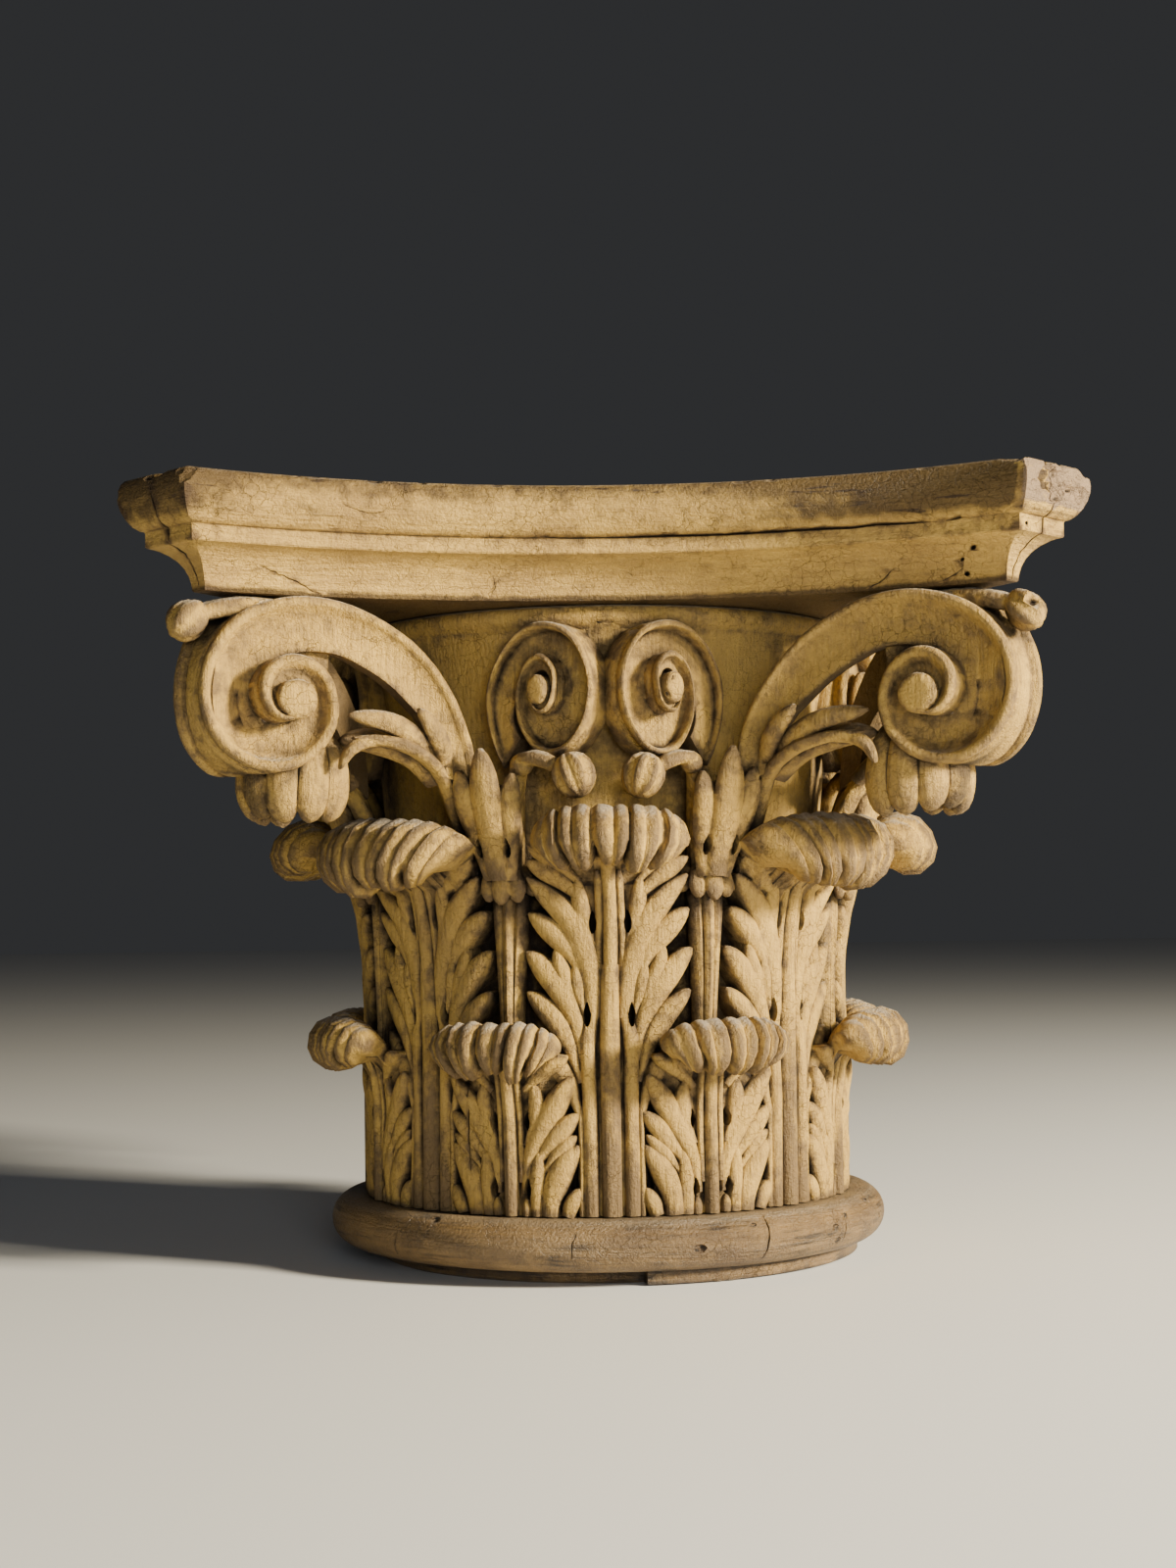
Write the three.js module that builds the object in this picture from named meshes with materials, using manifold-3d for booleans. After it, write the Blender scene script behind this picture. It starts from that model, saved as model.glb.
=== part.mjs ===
// Corinthian capital of carved and painted wood: base ring, carved bell and abacus.
// Millimetres, +Z up, the front faces -Y, the underside is at z = 0.
import * as THREE from "three";
import { mergeVertices } from "three/addons/utils/BufferGeometryUtils.js";
import Module from "manifold-3d";

const wasm = await Module();
wasm.setup();

const DEG = Math.PI / 180;
const FACES = 4;
const LEAVES = 8;
const JOINT_GAP = 0.3;

// Base ring
const RING_CORE_RADIUS = 69;
const RING_FILLET_RADIUS = 76.5;
const RING_FILLET_HEIGHT = 4.3;
const RING_ROUND_RADIUS = 7.4;
const RING_ROUND_CENTRE = 77.6;
const RING_SEAT_RADIUS = 75.2;
const RING_SEAT_HEIGHT = 18.5;
const RING_BREAK_FROM = 7;
const RING_BREAK_TO = -118;
const RING_SIDES = 40;

// Bell
const BELL_FOOT = RING_SEAT_HEIGHT + JOINT_GAP;
const BELL_SIDES = 24;
const BELL_PROFILE = [
  [66, BELL_FOOT],
  [66, 100],
  [67.5, 132],
  [70.5, 160],
  [73.2, 180],
  [75, 184.6],
  [75, 188],
];

// Abacus
const ABACUS_BOTTOM = 190;
const ABACUS_TOP = 220;
const BELL_TOP = ABACUS_BOTTOM - JOINT_GAP;
const ABACUS_HALF = 130;
const ABACUS_CUT = 21.5;
const ABACUS_SAG = 34;
const ABACUS_ARC_STEPS = 9;
const ABACUS_PROFILE = [
  [15.5, ABACUS_BOTTOM],
  [14.4, 195],
  [11.6, 199],
  [7.2, 201.5],
  [5.7, 201.6],
  [5.7, 206],
  [4.3, 206.4],
  [1.2, 210.2],
  [0, 215],
  [1.4, ABACUS_TOP],
];

// Leaves: spine points are radius and height, widths are fraction of the spine and half width
const LOWER_LEAF = {
  spine: [[70.4, BELL_FOOT], [70.4, 46], [72.2, 60], [77.5, 68.6], [85, 69.6], [90.2, 65], [89, 60.5]],
  widths: [[0, 16], [0.24, 18.4], [0.3, 15], [0.5, 18.8], [0.56, 15.8], [0.7, 18.8], [0.91, 17], [1, 10]],
  thickness: 7.2,
  rib: 1.6,
  stations: [0, 0.24, 0.3, 0.5, 0.56, 0.68, 0.8, 0.91, 1],
};
const UPPER_LEAF = {
  spine: [[70.6, BELL_FOOT], [70.8, 62], [71.2, 96], [75, 116], [84, 129], [94.5, 129], [100.2, 122], [99.4, 116.4]],
  widths: [
    [0, 10], [0.34, 11.5], [0.48, 21.6], [0.52, 17.4], [0.64, 22.4], [0.68, 18.4], [0.8, 21.8], [0.94, 20], [1, 13],
  ],
  thickness: 7.4,
  rib: 1.7,
  stations: [0, 0.34, 0.48, 0.52, 0.64, 0.68, 0.78, 0.86, 0.94, 1],
};
// The leaf under a corner has a wider tip that hangs lower
const CORNER_LEAF = {
  ...UPPER_LEAF,
  widths: [
    [0, 10], [0.34, 11.5], [0.48, 21.6], [0.52, 17.4], [0.64, 22.4], [0.68, 19.4], [0.78, 27.5], [0.86, 28], [0.94, 23], [1, 15],
  ],
};
const CORNER_LEAF_DROP = 3;

// Stalks and cups between the leaves
const STALK_RADIUS_AT = 71;
const STALK_PROFILE = [
  [4.6, 60],
  [4.4, 104],
  [8.2, 108.5],
  [6.4, 114.6],
  [9.2, 136],
  [8.4, 148],
];
const STALK_LEAN = 0.17;
const STALK_SIDES = 6;

// Volute plane: from the cup towards the abacus corner, for the right half of the front face
const VOLUTE = {
  start: [31, -74.5],
  end: [106, -116],
  eye: [62, 161],
  radius: 25.8,
  shrink: 3.3,
  rise: 22.4,
  from: -20,
  to: 484,
  step: 36,
  stretch: 1,
  band: 12.4,
  share: 0.46,
  thickness: 8,
  coilThickness: 15,
  groove: 2.4,
  lift: 4.5,
};
const HELIX = {
  start: [31.5, -73.5],
  end: [3.4, -88.5],
  eye: [18.6, 164.6],
  radius: 18.8,
  shrink: 2.1,
  rise: 7,
  from: -40,
  to: 455,
  step: 45,
  stretch: 0.74,
  band: 8.2,
  share: 0.46,
  thickness: 9,
  coilThickness: 12,
  groove: 1.6,
  lift: 2,
};

// Corner knobs, hanging tongues and the small knobs under the helices
const KNOB_AT = [151, 181.6];
const KNOB_SIZE = [8.5, 6.4, 6.2];
const TONGUE_SPINE = [[112, 149], [119, 144], [122, 135], [119, 127]];
const TONGUE_WIDTHS = [9, 12.5, 12, 5];
const TONGUE_DEPTHS = [7, 8.5, 7.5, 4];
const TONGUE_SIDES = 6;
const PEARL_AT = [9, -72, 141];
const PEARL_SIZE = [7.2, 11, 8.5];

// Cup leaves that run under the volutes, as points along the volute plane and height
const CUP_LEAF = {
  spine: [[2, 126], [14, 143], [32, 152], [52, 145]],
  widths: [4, 6.4, 6, 3],
  thickness: [3, 3, 2.6, 1.5],
};

function polar(radius, azimuth, height) {
  return new THREE.Vector3(radius * Math.sin(azimuth), -radius * Math.cos(azimuth), height);
}

function lookUp(table, at) {
  let [x0, y0] = table[0];
  for (const [x1, y1] of table) {
    if (at <= x1) {
      return x1 === x0 ? y1 : y0 + ((y1 - y0) * (at - x0)) / (x1 - x0);
    }
    x0 = x1;
    y0 = y1;
  }
  return y0;
}

// Closed skin through rings of points, with a fan over each end
function loft(rings) {
  const count = rings[0].length;
  const points = rings.flat();
  const index = [];
  for (let i = 0; i + 1 < rings.length; i += 1) {
    for (let j = 0; j < count; j += 1) {
      const a = i * count + j;
      const b = i * count + ((j + 1) % count);
      index.push(a, b, b + count, a, b + count, a + count);
    }
  }
  const cap = (ring, first, flip) => {
    const centre = new THREE.Vector3();
    ring.forEach((point) => centre.addScaledVector(point, 1 / count));
    const middle = points.push(centre) - 1;
    for (let j = 0; j < count; j += 1) {
      const a = first + j;
      const b = first + ((j + 1) % count);
      index.push(middle, flip ? b : a, flip ? a : b);
    }
  };
  cap(rings[0], 0, true);
  cap(rings[rings.length - 1], (rings.length - 1) * count, false);
  const geometry = new THREE.BufferGeometry().setFromPoints(points);
  geometry.setIndex(index);
  return geometry;
}

function solid(geometry) {
  const bare = geometry.clone();
  bare.deleteAttribute("normal");
  bare.deleteAttribute("uv");
  const merged = mergeVertices(bare, 1e-4);
  const build = (order) => {
    const index = Uint32Array.from(merged.index.array);
    if (order < 0) {
      for (let i = 0; i < index.length; i += 3) {
        [index[i + 1], index[i + 2]] = [index[i + 2], index[i + 1]];
      }
    }
    const vertProperties = Float32Array.from(merged.attributes.position.array);
    return new wasm.Manifold(new wasm.Mesh({ numProp: 3, vertProperties, triVerts: index }));
  };
  const body = build(1);
  return body.volume() > 0 ? body : build(-1);
}

function joined(bodies) {
  return bodies.reduce((sum, body) => sum.add(body));
}

function geometryOf(body) {
  const mesh = body.getMesh();
  const geometry = new THREE.BufferGeometry();
  geometry.setAttribute("position", new THREE.BufferAttribute(Float32Array.from(mesh.vertProperties), 3));
  geometry.setIndex(Array.from(mesh.triVerts));
  geometry.computeVertexNormals();
  return geometry;
}

function turned(profile, sides, bottom, top) {
  const points = [new THREE.Vector2(0, bottom)];
  profile.forEach(([r, z]) => points.push(new THREE.Vector2(r, z)));
  points.push(new THREE.Vector2(0, top));
  return new THREE.LatheGeometry(points, sides).rotateX(Math.PI / 2);
}

// Base ring: half-round over a fillet that is broken away on the front left
function baseRing() {
  const roundHeight = RING_FILLET_HEIGHT + RING_ROUND_RADIUS;
  const round = [[RING_CORE_RADIUS, 0], [RING_CORE_RADIUS, RING_FILLET_HEIGHT]];
  for (let angle = -90; angle <= 75; angle += 27.5) {
    const r = RING_ROUND_CENTRE + RING_ROUND_RADIUS * Math.cos(angle * DEG);
    round.push([r, roundHeight + RING_ROUND_RADIUS * Math.sin(angle * DEG)]);
  }
  round.push([RING_SEAT_RADIUS, RING_SEAT_HEIGHT]);
  const body = solid(turned(round, RING_SIDES, 0, RING_SEAT_HEIGHT));
  const kept = 360 - (RING_BREAK_FROM - RING_BREAK_TO);
  const steps = 22;
  const rings = [];
  for (let i = 0; i <= steps; i += 1) {
    const azimuth = (RING_BREAK_FROM + (kept * i) / steps) * DEG;
    const inner = RING_CORE_RADIUS - 1.5;
    rings.push([
      polar(inner, azimuth, 0),
      polar(RING_FILLET_RADIUS, azimuth, 0),
      polar(RING_FILLET_RADIUS, azimuth, RING_FILLET_HEIGHT + 0.3),
      polar(inner, azimuth, RING_FILLET_HEIGHT + 0.3),
    ]);
  }
  return body.add(solid(loft(rings)));
}

// Acanthus leaf: ribbed blade up the bell with a tip that rolls over
function leaf(form, azimuth, drop) {
  const curve = new THREE.SplineCurve(
    form.spine.map(([r, z], i) => new THREE.Vector2(r, i < 2 ? z : z - drop)),
  );
  const rings = form.stations.map((at) => {
    const centre = curve.getPointAt(at);
    const along = curve.getTangentAt(at);
    const half = lookUp(form.widths, at);
    const depth = form.thickness * (at > 0.93 ? 0.72 : 1);
    const point = (side, lift) => {
      const r = centre.x + along.y * lift;
      return polar(r, azimuth + (side * half) / Math.max(r, 72), centre.y - along.x * lift);
    };
    const front = depth / 2;
    return [
      point(-1, front - 2.6),
      point(-0.42, front),
      point(0, front + form.rib),
      point(0.42, front),
      point(1, front - 2.6),
      point(0.7, -front),
      point(-0.7, -front),
    ];
  });
  return solid(loft(rings));
}

// Stalk with its collar and the cup above, leaning out with the bell
function stalk(azimuth) {
  const rings = STALK_PROFILE.map(([radius, z]) => {
    const out = STALK_RADIUS_AT + Math.max(0, z - 104) * STALK_LEAN;
    const ring = [];
    for (let j = 0; j < STALK_SIDES; j += 1) {
      const turn = (2 * Math.PI * j) / STALK_SIDES;
      const side = radius * Math.sin(turn);
      const lift = radius * 0.8 * Math.cos(turn);
      ring.push(polar(out + lift, azimuth + side / out, z));
    }
    return ring;
  });
  return solid(loft(rings));
}

// Place in the vertical plane of a scroll: along the plane, height and proud of the plane
function scrollFrame(form, side) {
  const [x0, y0] = form.start;
  const [x1, y1] = form.end;
  const length = Math.hypot(x1 - x0, y1 - y0);
  const along = new THREE.Vector3(((x1 - x0) / length) * side, (y1 - y0) / length, 0);
  const out = new THREE.Vector3(along.y, -along.x, 0);
  if (out.y > 0) {
    out.negate();
  }
  const origin = new THREE.Vector3(x0 * side, y0, 0);
  return (t, z, proud) => {
    const place = origin.clone().addScaledVector(along, t).addScaledVector(out, proud);
    place.z = z;
    return place;
  };
}

function scrollRadius(form, angle) {
  const q = (90 - angle) / 90;
  return form.radius + form.shrink * q + (q > 0 ? form.rise * q * q : 0);
}

// Scroll: grooved band that rises from the cup and coils round its eye
function scroll(form, side) {
  const place = scrollFrame(form, side);
  const rings = [];
  for (let angle = form.from; angle <= form.to; angle += form.step) {
    const outer = scrollRadius(form, angle);
    const band = angle < 90 ? form.band : Math.min(form.band, outer * form.share + 0.8);
    const inner = outer - (angle > form.to - 120 ? outer * 0.94 : band);
    const turns = Math.max(0, (angle - 270) / (form.to - 270));
    const proud = form.lift * turns;
    const at = (radius, lift) => {
      const t = form.eye[0] - radius * form.stretch * Math.cos(angle * DEG);
      return place(t, form.eye[1] + radius * Math.sin(angle * DEG), lift);
    };
    const grown = Math.min(1, Math.max(0, (angle - 60) / 60));
    const depth = form.thickness + (form.coilThickness - form.thickness) * grown;
    rings.push([
      at(outer, -depth),
      at(outer, proud),
      at(inner, proud - form.groove),
      at(inner, -depth),
    ]);
  }
  return solid(loft(rings));
}

function ball(size, at, azimuth) {
  const geometry = new THREE.SphereGeometry(1, 6, 4);
  geometry.rotateX(Math.PI / 2);
  geometry.scale(size[0], size[1], size[2]);
  geometry.rotateZ(azimuth);
  geometry.translate(at.x, at.y, at.z);
  return solid(geometry);
}

// Tongue that hangs under a corner volute
function tongue(azimuth) {
  const rings = TONGUE_SPINE.map(([r, z], i) => {
    const ring = [];
    for (let j = 0; j < TONGUE_SIDES; j += 1) {
      const turn = (2 * Math.PI * j) / TONGUE_SIDES;
      const side = TONGUE_WIDTHS[i] * Math.sin(turn);
      const lift = TONGUE_DEPTHS[i] * Math.cos(turn);
      const centre = polar(r + lift, azimuth, z + lift * 0.25);
      ring.push(centre.add(polar(side, azimuth + Math.PI / 2, 0)));
    }
    return ring;
  });
  return solid(loft(rings));
}

// Cup leaf that sweeps out under the volute stem
function cupLeaf(side) {
  const place = scrollFrame(VOLUTE, side);
  const curve = new THREE.SplineCurve(CUP_LEAF.spine.map(([t, z]) => new THREE.Vector2(t, z)));
  const rings = CUP_LEAF.widths.map((half, i) => {
    const at = i / (CUP_LEAF.widths.length - 1);
    const centre = curve.getPointAt(at);
    const along = curve.getTangentAt(at);
    const depth = CUP_LEAF.thickness[i];
    const point = (across, proud) => place(centre.x - along.y * across, centre.y + along.x * across, proud);
    return [point(half, -2), point(-half * 0.3, depth), point(-half, -1), point(0, -7)];
  });
  return solid(loft(rings));
}

// One face of the bell: scrolls, wedge, knobs and tongue, turned round for the four faces
function faceCarving() {
  const parts = [];
  for (const side of [-1, 1]) {
    parts.push(scroll(VOLUTE, side));
    parts.push(scroll(HELIX, side));
    parts.push(cupLeaf(side));
    const [x, y, z] = PEARL_AT;
    parts.push(ball(PEARL_SIZE, new THREE.Vector3(x * side, y, z), 0));
  }
  const corner = Math.PI / 4;
  parts.push(ball(KNOB_SIZE, polar(KNOB_AT[0], corner, KNOB_AT[1]), corner - Math.PI / 2));
  parts.push(tongue(corner));
  return joined(parts);
}

function carvedBell() {
  const parts = [solid(turned([...BELL_PROFILE, [74, BELL_TOP]], BELL_SIDES, BELL_FOOT, BELL_TOP))];
  for (let k = 0; k < LEAVES; k += 1) {
    const azimuth = (2 * Math.PI * k) / LEAVES;
    parts.push(k % 2 === 0 ? leaf(UPPER_LEAF, azimuth, 0) : leaf(CORNER_LEAF, azimuth, CORNER_LEAF_DROP));
    parts.push(leaf(LOWER_LEAF, azimuth + Math.PI / LEAVES, 0));
    parts.push(stalk(azimuth + Math.PI / LEAVES));
  }
  const face = faceCarving();
  for (let k = 0; k < FACES; k += 1) {
    parts.push(face.rotate([0, 0, 90 * k]));
  }
  return joined(parts);
}

// Abacus: hollow sides and cut corners, each ring of the profile set in from the outline
function abacusOutline(inset) {
  const chord = ABACUS_HALF - ABACUS_CUT;
  const radius = (chord * chord + ABACUS_SAG * ABACUS_SAG) / (2 * ABACUS_SAG);
  const centre = -ABACUS_HALF + ABACUS_SAG - radius;
  const arc = radius + inset;
  const diagonal = (2 * ABACUS_HALF - ABACUS_CUT) / Math.SQRT2 - inset;
  const reach = diagonal * Math.SQRT2;
  const edge = (x) => -reach + x;
  let low = 0;
  let high = ABACUS_HALF;
  for (let i = 0; i < 50; i += 1) {
    const x = (low + high) / 2;
    const onArc = centre + Math.sqrt(arc * arc - x * x);
    if (onArc > edge(x)) {
      low = x;
    } else {
      high = x;
    }
  }
  const limit = Math.asin(low / arc);
  const ring = [];
  for (let face = 0; face < FACES; face += 1) {
    for (let i = 0; i <= ABACUS_ARC_STEPS; i += 1) {
      const turn = limit * ((2 * i) / ABACUS_ARC_STEPS - 1);
      const point = new THREE.Vector3(arc * Math.sin(turn), centre + arc * Math.cos(turn), 0);
      ring.push(point.applyAxisAngle(new THREE.Vector3(0, 0, 1), (face * Math.PI) / 2));
    }
  }
  return ring;
}

function abacus() {
  const rings = ABACUS_PROFILE.map(([inset, z]) => abacusOutline(inset).map((point) => point.setZ(z)));
  return solid(loft(rings));
}

function piece(name, body, colour) {
  const material = new THREE.MeshStandardMaterial({ color: colour, roughness: 0.6, metalness: 0 });
  material.name = `${name}_paint`;
  const mesh = new THREE.Mesh(geometryOf(body), material);
  mesh.name = name;
  return mesh;
}

const capital = new THREE.Group();
capital.name = "corinthian_capital";
capital.add(piece("base_ring", baseRing(), 0x8f7550));
capital.add(piece("carved_bell", carvedBell(), 0xc9ae83));
capital.add(piece("abacus", abacus(), 0xbfa57a));

export default capital;
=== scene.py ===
"""Corinthian capital of carved wood under an old ivory paint, for its portrait.

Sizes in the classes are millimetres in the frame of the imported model: +Z up, the front
faces -Y and the underside of the base ring is at zero. Meshes are written in metres.
"""

from __future__ import annotations

import logging
import math
import random
from collections.abc import Callable
from dataclasses import dataclass, replace
from enum import Enum

import bpy
import numpy as np
from mathutils import Matrix, Vector, noise
from mathutils.bvhtree import BVHTree

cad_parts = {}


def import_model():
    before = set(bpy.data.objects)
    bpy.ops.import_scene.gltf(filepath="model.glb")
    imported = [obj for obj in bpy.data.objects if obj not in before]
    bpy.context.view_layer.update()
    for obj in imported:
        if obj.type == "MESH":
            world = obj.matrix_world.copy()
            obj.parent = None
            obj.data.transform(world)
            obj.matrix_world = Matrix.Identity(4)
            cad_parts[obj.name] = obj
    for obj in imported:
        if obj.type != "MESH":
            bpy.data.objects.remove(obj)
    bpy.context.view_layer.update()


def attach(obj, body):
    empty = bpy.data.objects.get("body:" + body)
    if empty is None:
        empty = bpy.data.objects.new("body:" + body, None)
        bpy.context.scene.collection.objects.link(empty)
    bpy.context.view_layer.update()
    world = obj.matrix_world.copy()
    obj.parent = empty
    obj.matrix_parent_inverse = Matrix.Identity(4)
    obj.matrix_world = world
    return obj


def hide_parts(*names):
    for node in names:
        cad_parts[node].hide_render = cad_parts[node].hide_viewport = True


LOG = logging.getLogger("capital")
MM = 0.001
CAP_RADIUS = 30.0
Pair = tuple[float, float]
Path2 = tuple[Pair, ...]
Point = tuple[float, float, float]
Colour = tuple[float, float, float]
Socket = bpy.types.NodeSocket


class Cut(Enum):
    """How one solid meets another."""

    JOIN = "UNION"
    TAKE_AWAY = "DIFFERENCE"


def deselect() -> None:
    """Deselect every object."""
    bpy.ops.object.select_all(action="DESELECT")


def make_active(body: bpy.types.Object) -> None:
    """Select one body alone and make it the active one.

    Args:
        body: The body to work on.
    """
    deselect()
    body.select_set(True)
    bpy.context.view_layer.objects.active = body


def clear_away(body: bpy.types.Object) -> None:
    """Remove a body that is used up, with its mesh.

    Args:
        body: The body to remove.
    """
    mesh = body.data
    bpy.data.objects.remove(body)
    bpy.data.meshes.remove(mesh)


def ramp(value: float, start: float, end: float) -> float:
    """Give how far a value has come from a start to an end, from 0 to 1."""
    return min(max((value - start) / (end - start), 0.0), 1.0)


def polar(radius: np.ndarray, azimuth: np.ndarray, height: np.ndarray) -> np.ndarray:
    """Turn radius, azimuth from the front and height into points.

    Args:
        radius: Distance from the axis.
        azimuth: Angle from the front towards the right, in radians.
        height: Height above the underside.

    Returns:
        Points with the last axis x, y, z.
    """
    r, a, z = np.broadcast_arrays(radius, azimuth, height)
    return np.stack([r * np.sin(a), -r * np.cos(a), z], axis=-1)


def curve_points(points: Path2, count: int) -> np.ndarray:
    """Sample a smooth curve through points at even steps of its length.

    Args:
        points: Points of two or three numbers each.
        count: Samples wanted.

    Returns:
        Array of count rows.
    """
    pts = np.array(points, dtype=float)
    if len(pts) == 2:
        return pts[0] + (pts[1] - pts[0]) * np.linspace(0, 1, count)[:, None]
    ext = np.vstack([2 * pts[0] - pts[1], pts, 2 * pts[-1] - pts[-2]])
    rows = []
    for i in range(len(pts) - 1):
        p0, p1, p2, p3 = ext[i : i + 4]
        for u in np.linspace(0, 1, 24, endpoint=False):
            rows.append(
                0.5 * (2 * p1 + (p2 - p0) * u + (2 * p0 - 5 * p1 + 4 * p2 - p3) * u**2
                       + (3 * p1 - p0 - 3 * p2 + p3) * u**3)
            )
    rows.append(pts[-1])
    fine = np.array(rows)
    run = np.concatenate([[0], np.cumsum(np.linalg.norm(np.diff(fine, axis=0), axis=1))])
    at = np.linspace(0, run[-1], count)
    return np.stack([np.interp(at, run, fine[:, k]) for k in range(fine.shape[1])], axis=1)


def smooth_table(table: Path2, at: np.ndarray) -> np.ndarray:
    """Read a table of places and values along a smooth curve.

    Args:
        table: Place and value pairs in rising order.
        at: Places to read.

    Returns:
        The values there.
    """
    x = np.array([p[0] for p in table])
    y = np.array([p[1] for p in table])
    slope = np.gradient(y, x)
    i = np.clip(np.searchsorted(x, at) - 1, 0, len(x) - 2)
    h = x[i + 1] - x[i]
    u = np.clip((at - x[i]) / h, 0, 1)
    a, b = y[i], y[i + 1]
    return (
        (2 * u**3 - 3 * u**2 + 1) * a + (u**3 - 2 * u**2 + u) * h * slope[i]
        + (-2 * u**3 + 3 * u**2) * b + (u**3 - u**2) * h * slope[i + 1]
    )


def along_curve(points: Path2, places: np.ndarray, fineness: int = 120) -> np.ndarray:
    """Read a smooth curve through points at shares of its length.

    Args:
        points: Points of two or three numbers each.
        places: Shares of the length, from 0 to 1.
        fineness: Samples of the curve in between.

    Returns:
        One point for each place.
    """
    fine = curve_points(points, fineness)
    share = np.linspace(0, 1, fineness)
    return np.stack([np.interp(places, share, fine[:, k]) for k in range(fine.shape[1])], axis=1)


def tip_stations(count: int, crowding: float) -> np.ndarray:
    """Give places of sections along a stroke, closer together at its tip.

    Args:
        count: Sections of the stroke.
        crowding: Power that draws the sections to the tip.

    Returns:
        Places from 0 up to nearly 1.
    """
    last_gap = 0.72
    return 1 - (1 - np.arange(count) / (count - last_gap)) ** crowding


def directions(path: np.ndarray) -> np.ndarray:
    """Give the unit direction along each point of a path."""
    step = np.gradient(path, axis=0)
    return step / np.maximum(np.linalg.norm(step, axis=1, keepdims=True), 1e-9)


def petal(u: np.ndarray, foot: float, widest: float, point: float) -> np.ndarray:
    """Give the share of a petal's full width along its length.

    Args:
        u: Places from 0 to 1.
        foot: Share of the width at the start.
        widest: Place of the full width.
        point: Power that makes the tip blunt or pointed.

    Returns:
        Shares from 0 to 1.
    """
    grow = np.clip(u / widest, 0, 1)
    grow = foot + (1 - foot) * grow * grow * (3 - 2 * grow)
    fall = np.clip((u - widest) / (1 - widest), 0, 1)
    return grow * np.maximum(1 - fall**2, 0.02) ** point


def tube(name: str, rings: np.ndarray) -> bpy.types.Object:
    """Draw a closed body out of a ball whose rings take the given sections.

    Args:
        name: Name of the new object.
        rings: Sections, points and coordinates in millimetres.

    Returns:
        The new object, facing outwards.
    """
    count, sides, _ = rings.shape
    deselect()
    bpy.ops.mesh.primitive_uv_sphere_add(segments=sides, ring_count=count + 1, radius=1.0)
    body = bpy.context.object
    body.name = name
    mesh = body.data
    co = np.empty(len(mesh.vertices) * 3)
    mesh.vertices.foreach_get("co", co)
    co = co.reshape(-1, 3)
    ring = np.rint(np.arccos(np.clip(co[:, 2], -1, 1)) / math.pi * (count + 1)).astype(int)
    spoke = np.rint(np.arctan2(co[:, 1], co[:, 0]) / (2 * math.pi) * sides).astype(int) % sides
    placed = np.empty_like(co)
    inner = (ring > 0) & (ring < count + 1)
    placed[inner] = rings[ring[inner] - 1, spoke[inner]]
    placed[ring == 0] = rings[0].mean(axis=0)
    placed[ring == count + 1] = rings[-1].mean(axis=0)
    mesh.vertices.foreach_set("co", (placed * MM).ravel())
    mesh.update()
    if enclosed(mesh) < 0:
        mesh.flip_normals()
    return body


def enclosed(mesh: bpy.types.Mesh) -> float:
    """Give a measure of the signed volume inside a mesh.

    Args:
        mesh: A closed mesh.

    Returns:
        Six times the volume, below nothing where the faces point inwards.
    """
    mesh.calc_loop_triangles()
    tri = np.empty(len(mesh.loop_triangles) * 3, dtype=np.int32)
    mesh.loop_triangles.foreach_get("vertices", tri)
    co = np.empty(len(mesh.vertices) * 3)
    mesh.vertices.foreach_get("co", co)
    corner = co.reshape(-1, 3)[tri.reshape(-1, 3)]
    return float(np.einsum("ij,ij->i", corner[:, 0], np.cross(corner[:, 1], corner[:, 2])).sum())


def combine(body: bpy.types.Object, others: list[bpy.types.Object], cut: Cut) -> bpy.types.Object:
    """Join solids to a body, or take them away from it, and clear them.

    Args:
        body: The body that stays.
        others: The solids that go into it.
        cut: Whether they join or are taken away.

    Returns:
        The body.
    """
    if not others:
        return body
    tray = bpy.data.collections.new("tray")
    bpy.context.scene.collection.children.link(tray)
    for other in others:
        for home in list(other.users_collection):
            home.objects.unlink(other)
        tray.objects.link(other)
    step = body.modifiers.new("combine", "BOOLEAN")
    step.operation = cut.value
    step.solver = "MANIFOLD"
    step.operand_type = "COLLECTION"
    step.collection = tray
    make_active(body)
    bpy.ops.object.modifier_apply(modifier=step.name)
    for other in others:
        clear_away(other)
    bpy.data.collections.remove(tray)
    return body


def lighten(body: bpy.types.Object, limit: int) -> None:
    """Thin a mesh out where it has more triangles than it may have.

    Args:
        body: The body to thin out.
        limit: Triangles that it may have.
    """
    body.data.calc_loop_triangles()
    count = len(body.data.loop_triangles)
    LOG.info("%s before thinning: %d triangles", body.name, count)
    if count <= limit:
        return
    step = body.modifiers.new("thin", "DECIMATE")
    step.ratio = limit / count
    make_active(body)
    bpy.ops.object.modifier_apply(modifier=step.name)


def turned_copy(
    body: bpy.types.Object, name: str, degrees: float, mirror: bool = False
) -> bpy.types.Object:
    """Copy a body with its own mesh, turned round the axis of the capital.

    Args:
        body: The body to copy.
        name: Name of the copy.
        degrees: Turn about the axis.
        mirror: Whether the copy is the other hand.

    Returns:
        The copy, with its place in its mesh.
    """
    copy = body.copy()
    copy.data = body.data.copy()
    copy.name = name
    bpy.context.scene.collection.objects.link(copy)
    turn = Matrix.Rotation(math.radians(degrees), 4, "Z")
    if mirror:
        copy.data.transform(Matrix.Scale(-1, 4, (1, 0, 0)))
        copy.data.flip_normals()
    copy.data.transform(turn)
    return copy


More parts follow.
